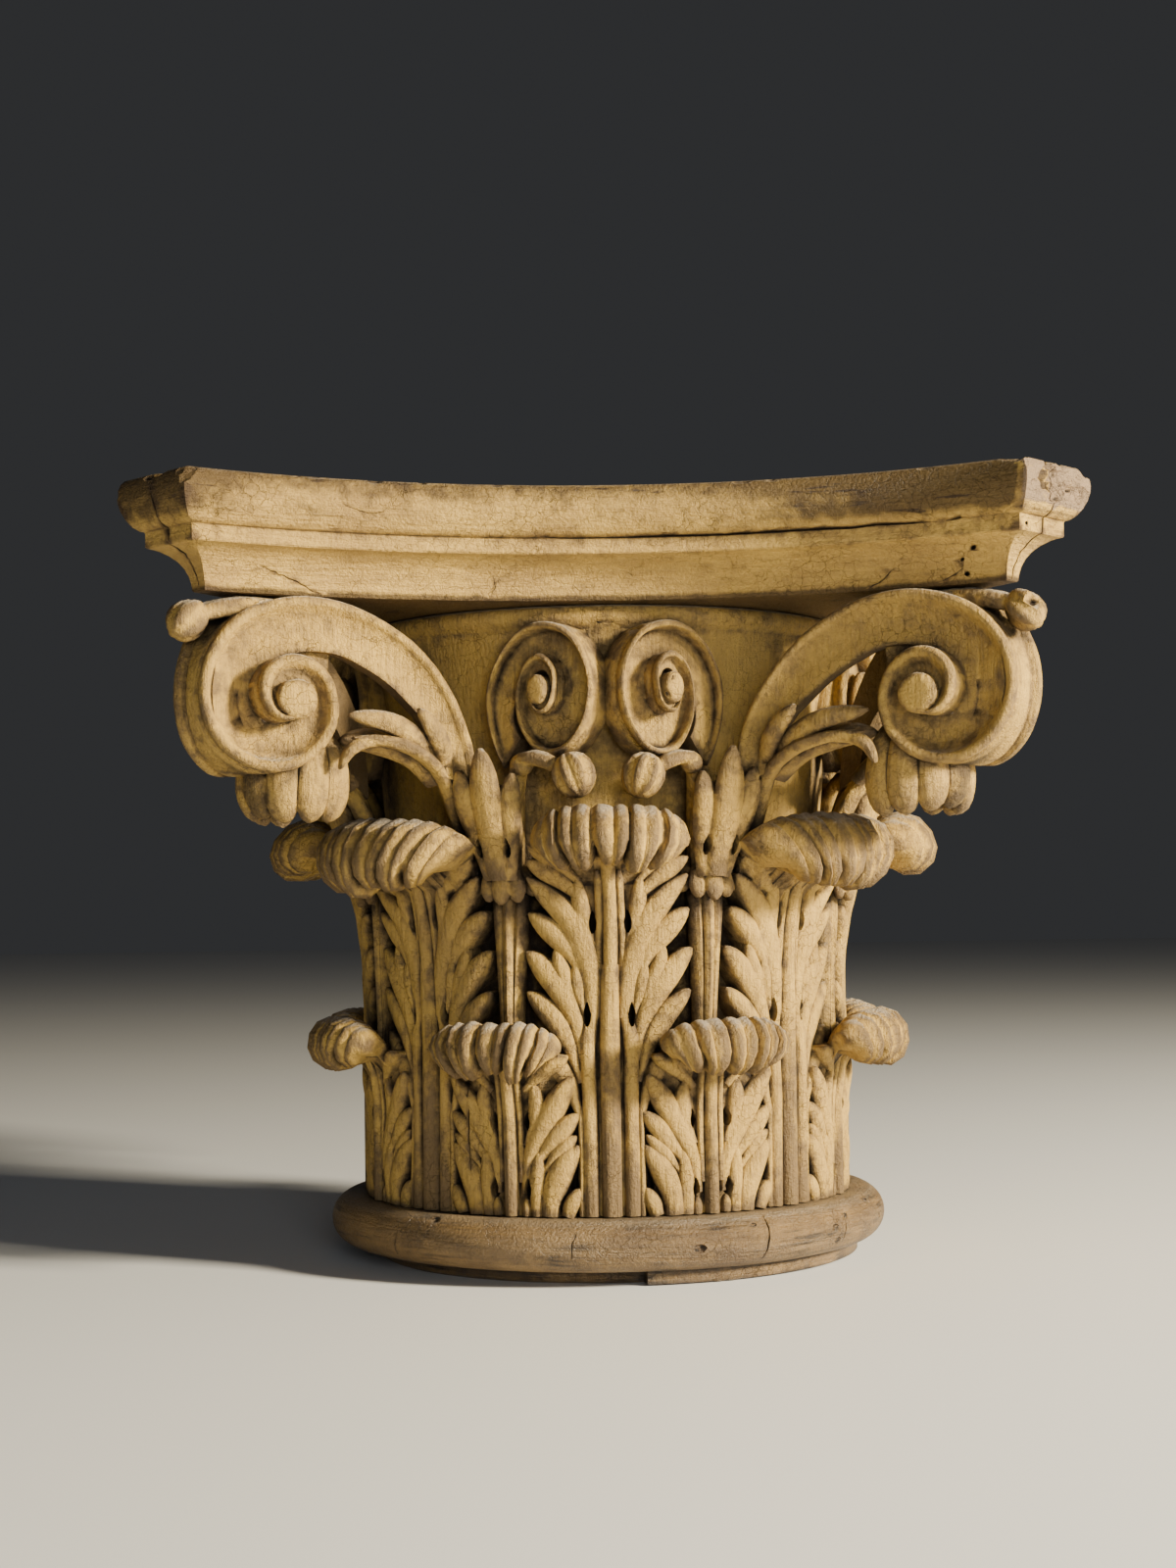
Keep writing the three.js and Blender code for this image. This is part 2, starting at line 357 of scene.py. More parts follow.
@dataclass
class Stroke:
    """One petal-shaped gouge stroke of a leaf, along places across the leaf and heights."""

    path: Path2
    half_width: float
    rise: float = 2.2
    foot: float = 0.5
    widest: float = 0.62
    point: float = 0.62
    sections: int = 11
    sink: float = 7.0

    def mirrored(self) -> "Stroke":
        """Give the same stroke on the other side of the midrib."""
        return replace(self, path=tuple((-t, z) for t, z in self.path))

    def stations(self) -> np.ndarray:
        """Give the places of the sections along the stroke."""
        return tip_stations(self.sections, 1.35)

    def swell(self, u: np.ndarray) -> np.ndarray:
        """Give the share of the full width at places along the stroke."""
        return petal(u, self.foot, self.widest, self.point)


STROKE_SECTION = (
    (-1.0, -0.45), (-0.95, 0.2), (-0.79, 0.64), (-0.42, 0.92), (0.0, 1.0), (0.42, 0.92), (0.79, 0.64),
    (0.95, 0.2), (1.0, -0.45), (0.86, -1.0), (-0.86, -1.0),
)
SLAB_SECTION = (
    (-1, -9), (-1, -1.6), (-0.62, -0.2), (0, 0.2), (0.62, -0.2), (1, -1.6), (1, -9), (0, -9),
)
TIP_FAN = (
    (0, 0.45), (0.18, 0.62), (0.3, 0.86), (0.38, 0.94), (0.46, 0.99), (0.54, 1.0), (0.62, 0.9), (0.72, 0.7),
    (0.8, 0.62), (1.0, 0.5),
)
CORNER_FAN = (
    (0, 0.45), (0.18, 0.7), (0.3, 0.94), (0.38, 1.0), (0.46, 0.98), (0.54, 0.88), (0.62, 0.72), (0.72, 0.52),
    (0.8, 0.46), (1.0, 0.4),
)


@dataclass
class Cap:
    """The rolled tip of a leaf: a solid cap with lobes draped over it."""

    name: str
    outline: tuple[tuple[float, float, float, float], ...]
    neck: Pair
    half_width: float
    lobes: int
    groove: float
    crease: float
    scallop: float
    fan: Path2
    blunt: float = 3.4
    phases: tuple[float, ...] = (0.015, 0.09, 0.17, 0.3, 0.43, 0.5, 0.57, 0.7, 0.83, 0.91, 0.985)

    def normals(self) -> np.ndarray:
        """Give the outward direction at each point of the outline.

        Returns:
            Unit directions of two numbers each.
        """
        pts = np.array(self.outline)[:, :2]
        step = np.roll(pts, -1, axis=0) - np.roll(pts, 1, axis=0)
        step /= np.linalg.norm(step, axis=1, keepdims=True)
        return np.stack([-step[:, 1], step[:, 0]], axis=1)

    def build(self, rng: random.Random) -> bpy.types.Object:
        """Make the cap as a closed body.

        Args:
            rng: Seeded source of small differences between lobes.

        Returns:
            The cap.
        """
        pts = np.array(self.outline)
        out = self.normals()
        share = np.linspace(0, 1, len(pts))
        fan = np.interp(share, [f[0] for f in self.fan], [f[1] for f in self.fan])
        neck = np.array(self.neck)
        outermost = (0, self.lobes - 1)
        widths = np.array([1 + rng.uniform(-0.2, 0.2) - 0.22 * (k in outermost) for k in range(self.lobes)])
        edges = np.concatenate([[0.0], np.cumsum(widths / widths.sum())])
        rings = []
        for lobe in range(self.lobes):
            reach, drop = rng.uniform(-0.8, 0.5), rng.uniform(-1.3, 1.1)
            middle = 0.5 + rng.uniform(-0.09, 0.09)
            fold_share, wave = rng.uniform(0.5, 1.4), rng.uniform(0, 6)
            for phase in self.phases:
                inward = 1 - abs(2 * phase - 1)
                part = 2 * phase * middle if phase < 0.5 else middle + (2 * phase - 1) * (1 - middle)
                s = (2 * (edges[lobe] + part * (edges[lobe + 1] - edges[lobe])) - 1) * 0.995
                gap = max(0.0, 1 - inward / 0.3) ** 1.2
                fold = max(0.0, 1 - (1 - inward) / 0.3) ** 1.2 * fold_share
                end = (1 - abs(s) ** self.blunt) ** 0.5
                swell = 0.5 * math.sin(math.pi * inward)
                depth = swell - self.groove * gap - self.crease * fold + reach * 0.7
                depth *= min(1.0, 0.35 + end)
                flat = pts[:, :2] + out * (depth * pts[:, 2])[:, None]
                flat[:, 1] += (self.scallop * (1 - inward) ** 1.7 + drop) * pts[:, 3]
                flat = neck + (flat - neck) * np.array([0.4 + 0.6 * end, 0.34 + 0.66 * end])
                t = s * self.half_width * fan + 0.35 * np.sin(7 * share + wave) * pts[:, 2]
                rings.append(polar(flat[:, 0], t / flat[:, 0], flat[:, 1]))
        return tube(self.name, np.array(rings))


@dataclass
class Leaf:
    """Acanthus leaf: a slab, petals on both sides, drilled eyes and a rolled tip."""

    name: str
    face: Path2
    slab: Path2
    strokes: tuple[Stroke, ...]
    middle: tuple[Stroke, ...]
    eyes: tuple[tuple[float, float, float, float], ...]
    tip: Cap
    seed: int
    fullness: float = 1.17

    def face_radius(self, z: np.ndarray) -> np.ndarray:
        """Give the radius of the leaf's face at a height."""
        return np.interp(z, [p[1] for p in self.face], [p[0] for p in self.face])

    def lay(self, t: np.ndarray, z: np.ndarray, h: np.ndarray) -> np.ndarray:
        """Lay places across the leaf on its curved face.

        Args:
            t: Place across the leaf.
            z: Height.
            h: Height proud of the face.

        Returns:
            Points.
        """
        r = self.face_radius(z)
        return polar(r + h, t / r, z)

    def stroke_body(self, name: str, stroke: Stroke) -> bpy.types.Object:
        """Make one stroke as a closed body on the leaf's face.

        Args:
            name: Name of the body.
            stroke: The stroke to cut.

        Returns:
            The body.
        """
        u = stroke.stations()
        line = along_curve(stroke.path, u)
        along = directions(line)
        swell = stroke.swell(u)
        rings = []
        for i in range(stroke.sections):
            t, z = line[i]
            dt, dz = along[i]
            ring = []
            for across, v in STROKE_SECTION:
                w = across * stroke.half_width * self.fullness * swell[i]
                high = v * stroke.rise * (0.3 + 0.7 * swell[i]) if v > -0.5 else v * stroke.sink
                ring.append(self.lay(t + dz * w, z - dt * w, high))
            rings.append(ring)
        return tube(name, np.array(rings))

    def slab_body(self) -> bpy.types.Object:
        """Make the slab that carries the strokes.

        Returns:
            The slab.
        """
        rings = []
        table = np.array(self.slab)
        for z in np.linspace(table[0, 0], table[-1, 0], 14):
            half = float(np.interp(z, table[:, 0], table[:, 1]))
            rings.append([self.lay(u * half, z, h) for u, h in SLAB_SECTION])
        return tube(f"{self.name}_slab", np.array(rings))

    def eye_cutter(self, index: int, t: float, z: float, half: float, tall: float) -> bpy.types.Object:
        """Make the drill shape of one eye.

        Args:
            index: Number of the eye.
            t: Place across the leaf.
            z: Height of the eye.
            half: Half its width.
            tall: Half its height.

        Returns:
            The cutter.
        """
        rings = []
        for h in (-5.5, -3.0, 0.0, 4.0):
            ring = []
            for k in range(10):
                turn = 2 * math.pi * k / 10
                up = math.sin(turn)
                wide = half * (1 - 0.5 * max(up, 0)) * (0.75 if h < -4 else 1.0)
                ring.append(self.lay(t + wide * math.cos(turn), z + tall * up, h))
            rings.append(ring)
        return tube(f"{self.name}_eye{index}", np.array(rings))

    def build(self) -> bpy.types.Object:
        """Carve the leaf at the front of the capital.

        Returns:
            One closed body.
        """
        parts = [self.tip.build(random.Random(self.seed))]
        for k, stroke in enumerate(self.middle):
            parts.append(self.stroke_body(f"{self.name}_mid{k}", stroke))
        for k, stroke in enumerate(self.strokes):
            parts.append(self.stroke_body(f"{self.name}_l{k}", stroke))
            parts.append(self.stroke_body(f"{self.name}_r{k}", stroke.mirrored()))
        body = combine(self.slab_body(), parts, Cut.JOIN)
        cutters = []
        for k, (t, z, half, tall) in enumerate(self.eyes):
            cutters.append(self.eye_cutter(2 * k, t, z, half, tall))
            cutters.append(self.eye_cutter(2 * k + 1, -t, z, half, tall))
        return combine(body, cutters, Cut.TAKE_AWAY)


def upper_leaf(seed: int, corner: bool) -> Leaf:
    """Give a tall leaf of the upper row.

    Args:
        seed: Makes the cut of its tip a little different.
        corner: Whether it stands under a corner, where the tip is wider and hangs lower.

    Returns:
        The leaf.
    """
    strokes = (
        Stroke(
            ((-5.6, 60), (-4.6, 80), (-6.7, 92), (-12.0, 103), (-23.0, 113.6)),
            3.3, 2.6, 0.35, 0.7, sections=15,
        ),
        Stroke(((-7.0, 84), (-10.5, 92), (-16.0, 98.4), (-22.9, 103.9)), 2.95, 2.2, 0.4),
        Stroke(((-4.4, 93), (-6.2, 99), (-8.0, 106), (-8.9, 113.6)), 2.3, 2.2, 0.4),
        Stroke(((-7.0, 107), (-13, 112.2), (-18, 115.2), (-23, 118.4)), 2.3, 2.2, 0.5),
        Stroke(((-8.0, 112), (-13, 116.4), (-18, 119.4), (-22.6, 122.4)), 1.9, 2.0, 0.5, sections=9),
        Stroke(
            ((-7.4, 62), (-9.4, 73), (-13.4, 81.5), (-18, 87.6), (-23.4, 93.0)),
            3.3, 2.5, 0.3, 0.68, sections=14,
        ),
        Stroke(((-8.6, 75), (-11.0, 82.5), (-13.4, 88), (-15.2, 94)), 2.2, 2.3, 0.4),
        Stroke(((-6.6, 75), (-8.2, 80), (-9.0, 85), (-9.3, 90)), 1.9, 2.2, 0.4, sections=9),
        Stroke(((-8.0, 56), (-11.6, 67.6), (-16.0, 74.6), (-22.9, 81.3)), 2.9, 2.4, 0.3, 0.66, sections=12),
        Stroke(((-8.0, 44), (-11.0, 55), (-15.4, 62), (-21.8, 69)), 2.7, 2.3, 0.3, 0.66, sections=12),
        Stroke(((-5.7, 18.9), (-5.7, 45), (-5.9, 60), (-6.2, 73)), 1.95, 2.3, 1.0, 0.9, sections=9),
        Stroke(((-8.3, 18.9), (-8.3, 36), (-8.2, 50)), 0.8, 1.6, 1.0, 0.9, sections=7),
        Stroke(((-3.2, 74), (-3.3, 92), (-3.0, 106), (-3.0, 116)), 1.15, 1.7, 0.7, 0.95, sections=9),
    )
    middle = (
        Stroke(((0, 18.9), (0, 60), (0, 90)), 2.5, 3.1, 1.0, 0.98, sections=8),
        Stroke(((0, 84), (0, 100), (0, 119)), 1.95, 3.0, 1.0, 0.98, sections=8),
    )
    tip = Cap(
        "upper_cap",
        (
            (68, 100, 0, 0), (69, 106, 0, 0), (71.5, 113, 0.2, 0), (75.5, 120, 0.5, 0), (80.5, 127, 0.5, 0),
            (86.5, 131.8, 0.45, 0), (92.5, 133.0, 0.55, 0), (98, 131, 0.8, 0), (101.8, 126.8, 1, 0),
            (103.2, 122.0, 1, 0.2), (102.0, 117.6, 1, 0.7), (98.6, 114.6, 1, 1), (93.6, 114.4, 0.8, 1),
            (88.4, 117.0, 0.4, 0.5), (83, 118.5, 0, 0), (77, 114.5, 0, 0), (72, 106, 0, 0),
        ),
        (81.0, 120.0), 22.8, 5, 1.9, 0.9, 3.6, TIP_FAN,
    )
    if corner:
        lower = tuple(
            (r, z - 2.4 - 2.8 * min(1.0, (133 - z) / 18.6), relief, hang)
            for r, z, relief, hang in tip.outline
        )
        tip = replace(tip, outline=lower, neck=(80.0, 116.4), half_width=29.5, lobes=6, fan=CORNER_FAN)
    return Leaf(
        "upper_leaf",
        ((72.0, 18), (72.0, 70), (72.6, 90), (74.0, 102), (76.2, 111), (79.5, 118), (83, 123)),
        ((18.9, 9.6), (50, 10.4), (62, 13.5), (72, 15.5), (85, 16), (104, 16), (112, 17.5), (119, 18)),
        strokes,
        middle,
        ((-4.9, 101.0, 1.1, 3.3), (-6.1, 75.0, 1.15, 3.6)),
        tip,
        seed,
    )


def lower_leaf(seed: int) -> Leaf:
    """Give a short leaf of the lower row.

    Args:
        seed: Makes the cut of its tip a little different.

    Returns:
        The leaf.
    """
    strokes = (
        Stroke(
            ((-4.0, 25), (-5.0, 34), (-8.6, 42), (-13.4, 50), (-19.0, 58.0)),
            3.2, 2.5, 0.35, 0.68, sections=13,
        ),
        Stroke(((-7.6, 33), (-10.6, 37.6), (-14.8, 42.6), (-19.6, 47.4)), 2.7, 2.2, 0.4),
        Stroke(((-9.4, 31), (-13.4, 36.2), (-19.0, 41.0)), 1.9, 1.9, 0.4, sections=9),
        Stroke(((-4.6, 38.5), (-6.8, 44), (-8.2, 50), (-7.6, 56.4)), 2.3, 2.2, 0.4),
        Stroke(((-5.0, 54), (-9.6, 58.6), (-14, 61.4), (-18.2, 63.6)), 2.1, 2.0, 0.5, sections=9),
        Stroke(((-11.0, 18.9), (-11.6, 24), (-14.2, 31), (-19.4, 38.4)), 3.3, 2.5, 0.75, 0.5, sections=12),
        Stroke(((-7.4, 18.9), (-7.4, 26), (-7.9, 32), (-8.4, 37.4)), 2.2, 2.3, 0.75, 0.5),
        Stroke(((-16.0, 18.9), (-17.0, 22), (-19.4, 26.6)), 2.2, 2.1, 0.8, 0.4, sections=9),
        Stroke(((-4.4, 18.9), (-4.5, 24.0)), 1.35, 1.9, 0.9, 0.4, sections=7),
        Stroke(((-2.9, 28), (-3.0, 42), (-2.8, 61)), 1.0, 1.6, 0.9, 0.95, sections=8),
    )
    middle = (
        Stroke(((0, 18.9), (0, 40), (0, 65)), 1.9, 2.9, 1.0, 0.98, sections=9),
    )
    tip = Cap(
        "lower_cap",
        (
            (67, 46, 0, 0), (68.5, 50, 0, 0), (71, 56, 0.2, 0), (73.5, 62, 0.5, 0), (77.5, 68.4, 0.5, 0),
            (82.3, 72.6, 0.45, 0), (86.8, 73.6, 0.55, 0), (90.8, 72.0, 0.8, 0), (93.4, 68.4, 1, 0),
            (94.0, 64.0, 1, 0.3), (92.6, 60, 1, 0.8), (89.2, 57.7, 1, 1), (85.0, 58.2, 0.8, 1),
            (81.0, 60.4, 0.3, 0.4), (77, 60.4, 0, 0), (72, 54, 0, 0),
        ),
        (79.0, 63.0), 20.2, 5, 1.75, 0.85, 3.3, TIP_FAN,
    )
    return Leaf(
        "lower_leaf",
        ((72.6, 18), (72.6, 48), (74.0, 57), (76.5, 63), (79, 66.5)),
        ((18.9, 17.4), (28, 16.4), (45, 15.0), (56, 15.6), (64, 16.2)),
        strokes,
        middle,
        ((-5.1, 45.3, 1.1, 2.7), (-5.0, 26.4, 1.15, 2.9)),
        tip,
        seed,
        1.12,
    )


@dataclass
class Scroll:
    """A scroll on an upright plane: a channelled band that coils round an eye."""

    name: str
    start: Pair
    end: Pair
    eye: Pair
    outer: Path2
    inner: Path2
    stretch: float
    depth: float
    coil_depth: float
    bead: float
    channel: Path2
    lift: float
    lift_from: float
    eye_radius: float
    plate: float
    step: float = 6.0
    steep: float = 0.0

    def frame(self) -> tuple[np.ndarray, np.ndarray, np.ndarray]:
        """Lay the plane of the scroll.

        Returns:
            The start, the direction along and the direction out of the plane.
        """
        origin = np.array([self.start[0], self.start[1], 0.0])
        along = np.array([self.end[0] - self.start[0], self.end[1] - self.start[1], 0.0])
        along /= np.linalg.norm(along)
        out = np.array([along[1], -along[0], 0.0])
        return origin, along, out if out[1] < 0 else -out

    def place(self, t: float, z: float, proud: float) -> np.ndarray:
        """Place a point on the plane of the scroll.

        Args:
            t: Way along the plane.
            z: Height.
            proud: How far the point stands out of the plane.

        Returns:
            The point.
        """
        origin, along, out = self.frame()
        point = origin + along * t + out * proud
        point[2] = z
        return point

    def at(self, angle: float, radius: float, proud: float) -> np.ndarray:
        """Place a point by its angle and distance from the eye.

        Args:
            angle: Angle about the eye in degrees.
            radius: Distance from the eye.
            proud: How far the point stands out of the plane.

        Returns:
            The point.
        """
        turn = math.radians(angle)
        t = self.eye[0] - radius * self.stretch * math.cos(turn)
        return self.place(t, self.eye[1] + radius * math.sin(turn), proud)

    def section(self, width: float, depth: float, channel: float) -> list[Pair]:
        """Give the band's section as ways in from the outer edge and heights.

        Args:
            width: Width of the band.
            depth: Depth of the band behind its face.
            channel: Depth of the channel below the bead.

        Returns:
            Points round the section.
        """
        b, c, k = min(self.bead, 0.36 * width), channel, self.steep
        side = min(depth * 0.5, 3.8)
        bank = max((0.3 - 0.1 * k) * width, 1.5 * b)
        slope = max((0.48 - 0.12 * k) * width, 1.7 * b)
        return [
            (0.0, -depth), (0.0, -side - 1.2), (0.9, -side - 0.5), (0.9, -side + 0.5), (0.0, -side + 1.2),
            (0.0, -1.1), (0.3 * b, -0.15), (0.65 * b, 0.0), (b, -0.4), (1.2 * b, -1.2),
            (bank, -(0.66 + 0.24 * k) * c), (slope, -(0.92 + 0.08 * k) * c),
            (0.7 * width, -c), (0.9 * width, -(0.86 + 0.1 * k) * c),
            (width, -0.95 * c), (width, -depth),
        ]

    def band(self) -> bpy.types.Object:
        """Sweep the band along the scroll.

        Returns:
            The band.
        """
        first, last = self.outer[0][0], self.outer[-1][0]
        angles = np.arange(first, last + 0.1, self.step)
        outer = smooth_table(self.outer, angles)
        inner = smooth_table(self.inner, angles)
        channel = smooth_table(self.channel, angles)
        rings = []
        for angle, ro, ri, deep in zip(angles, outer, inner, channel):
            depth = self.depth + (self.coil_depth - self.depth) * ramp(angle, 50, 110)
            u = ramp(angle, self.lift_from, last)
            proud = self.lift * u * u * (3 - 2 * u)
            ring = []
            for inward, high in self.section(ro - ri, depth, deep):
                raised = proud if high > -depth + 0.01 else 0.0
                ring.append(self.at(angle, ro - inward, raised + high))
            rings.append(ring)
        return tube(f"{self.name}_band", np.array(rings))

    def disc(self, name: str, radius: float, profile: Path2, sides: int) -> bpy.types.Object:
        """Turn a disc about the eye.

        Args:
            name: Name of the disc.
            radius: Radius of the disc.
            profile: Share of the radius and height of each ring.
            sides: Sides of the disc.

        Returns:
            The disc.
        """
        rings = []
        for share, high in profile:
            rings.append([self.at(360 * k / sides, radius * share, high) for k in range(sides)])
        return tube(name, np.array(rings))

    def build(self) -> bpy.types.Object:
        """Carve the scroll with its eye and the plate behind the coil.

        Returns:
            The scroll as one body.
        """
        top = self.lift + 0.4
        back = -self.coil_depth
        eye_profile = (
            (0.2, back), (1.0, back + 0.2), (1.0, top - 0.9),
            (0.86, top - 0.15), (0.6, top), (0.2, top + 0.1),
        )
        plate_profile = ((0.3, back - 0.4), (1.0, back - 0.4), (1.0, -5.6), (0.3, -5.0))
        eye = self.disc(f"{self.name}_eye", self.eye_radius, eye_profile, 20)
        plate = self.disc(f"{self.name}_plate", self.plate, plate_profile, 24)
        return combine(self.band(), [eye, plate], Cut.JOIN)


def corner_volute() -> Scroll:
    """Give the corner volute of the right half of the front face.

    Returns:
        The volute.
    """
    return Scroll(
        name="volute",
        start=(31, -74.5),
        end=(106, -116),
        eye=(61.4, 160.6),
        outer=(
            (-22, 61.5), (-16, 58.6), (-3, 52.6), (14, 45.0), (38, 36.8), (65, 31.2), (90, 28.4),
            (135, 26.8), (180, 24.9), (225, 22.0), (270, 18.6), (315, 15.2), (360, 13.2), (405, 12.9),
            (450, 12.8), (495, 11.6), (540, 9.6), (585, 7.6), (630, 5.4),
        ),
        inner=(
            (-22, 51), (-7, 42.4), (0, 37), (15, 28.8), (45, 19.6), (75, 14.4), (100, 12.4), (135, 10.8),
            (180, 9.0), (225, 7.0), (270, 5.6), (315, 5.0), (360, 4.8), (450, 4.2), (540, 3.6), (630, 2.6),
        ),
        stretch=1.0,
        depth=8.0,
        coil_depth=14.0,
        bead=2.5,
        channel=(
            (-22, 2.2), (0, 3.0), (45, 3.9), (90, 5.2), (180, 6.0),
            (270, 5.0), (360, 3.6), (450, 2.8), (630, 1.6),
        ),
        lift=5.4,
        lift_from=230.0,
        eye_radius=5.5,
        plate=13.0,
    )


def inner_helix() -> Scroll:
    """Give the inner helix of the right half of the front face.

    Returns:
        The helix.
    """
    return Scroll(
        name="helix",
        start=(31.5, -73.5),
        end=(3.4, -88.5),
        eye=(15.4, 165.2),
        outer=(
            (-50, 27.5), (-30, 26.4), (0, 24.8), (45, 21.2), (90, 19.4), (135, 20.4), (180, 21.6),
            (225, 20.4), (270, 18.4), (315, 14.6), (360, 11.6), (405, 10.8), (450, 10.6), (495, 8.8),
            (540, 7.0), (585, 7.0), (630, 6.8), (675, 4.6), (720, 2.8),
        ),
        inner=(
            (-50, 17), (-30, 16), (0, 12.4), (45, 10.8), (90, 10.2), (135, 8.4), (180, 6.8),
            (225, 6.8), (270, 6.6), (315, 6.2), (360, 6.0), (405, 5.8), (450, 5.8), (495, 4.8),
            (540, 3.6), (585, 3.6), (630, 3.6), (675, 2.0), (720, 0.8),
        ),
        stretch=0.72,
        depth=9.0,
        coil_depth=12.5,
        bead=1.6,
        channel=(
            (-50, 1.6), (0, 3.2), (90, 5.6), (180, 5.8), (270, 4.6),
            (360, 3.0), (450, 2.3), (630, 1.4), (720, 0.7),
        ),
        lift=3.0,
        lift_from=280.0,
        eye_radius=4.3,
        plate=10.0,
        step=8.0,
        steep=1.0,
    )


@dataclass
class Sprig:
    """A free petal or strand given by points in space."""

    points: tuple[Point, ...]
    half_width: float
    half_height: float
    outward: Point
    foot: float = 0.7
    widest: float = 0.6
    point: float = 0.55
    sections: int = 12
    sides: int = 10

    def build(self, name: str) -> bpy.types.Object:
        """Make the petal as a closed body.

        Args:
            name: Name of the body.

        Returns:
            The body.
        """
        u = tip_stations(self.sections, 1.3)
        line = along_curve(self.points, u)
        along = directions(line)
        out = np.array(self.outward) / np.linalg.norm(self.outward)
        swell = petal(u, self.foot, self.widest, self.point)
        rings = []
        for i in range(self.sections):
            across = np.cross(along[i], out)
            across /= max(np.linalg.norm(across), 1e-6)
            lift = np.cross(across, along[i])
            high = self.half_height * (0.3 + 0.7 * swell[i])
            ring = []
            for k in range(self.sides):
                turn = 2 * math.pi * k / self.sides
                beside = across * self.half_width * swell[i] * math.cos(turn)
                ring.append(line[i] + beside + lift * high * math.sin(turn))
            rings.append(ring)
        return tube(name, np.array(rings))


@dataclass
class LobedBall:
    """A small fluted ball."""

    centre: Point
    axis: Point
    radius: float
    length: float
    lobes: int
    groove: float
    phase: float = 0.0

    def build(self, name: str) -> bpy.types.Object:
        """Make the ball as a closed body.

        Args:
            name: Name of the body.

        Returns:
            The ball.
        """
        axis = np.array(self.axis) / np.linalg.norm(self.axis)
        askew = np.array([0.31, 0.2, 0.93]) if abs(axis[2]) < 0.8 else np.array([0.0, 1.0, 0.0])
        side = np.cross(axis, askew)
        side /= np.linalg.norm(side)
        other = np.cross(axis, side)
        rings = []
        for angle in np.linspace(0.12, math.pi - 0.12, 9):
            ring = []
            for k in range(self.lobes * 4):
                turn = 2 * math.pi * k / (self.lobes * 4)
                cut = self.groove * (0.5 + 0.5 * math.cos(self.lobes * turn + self.phase)) ** 1.4
                r = (self.radius - cut) * math.sin(angle)
                ring.append(np.array(self.centre) - axis * self.length * math.cos(angle)
                            + (side * math.cos(turn) + other * math.sin(turn)) * r)
            rings.append(ring)
        return tube(name, np.array(rings))


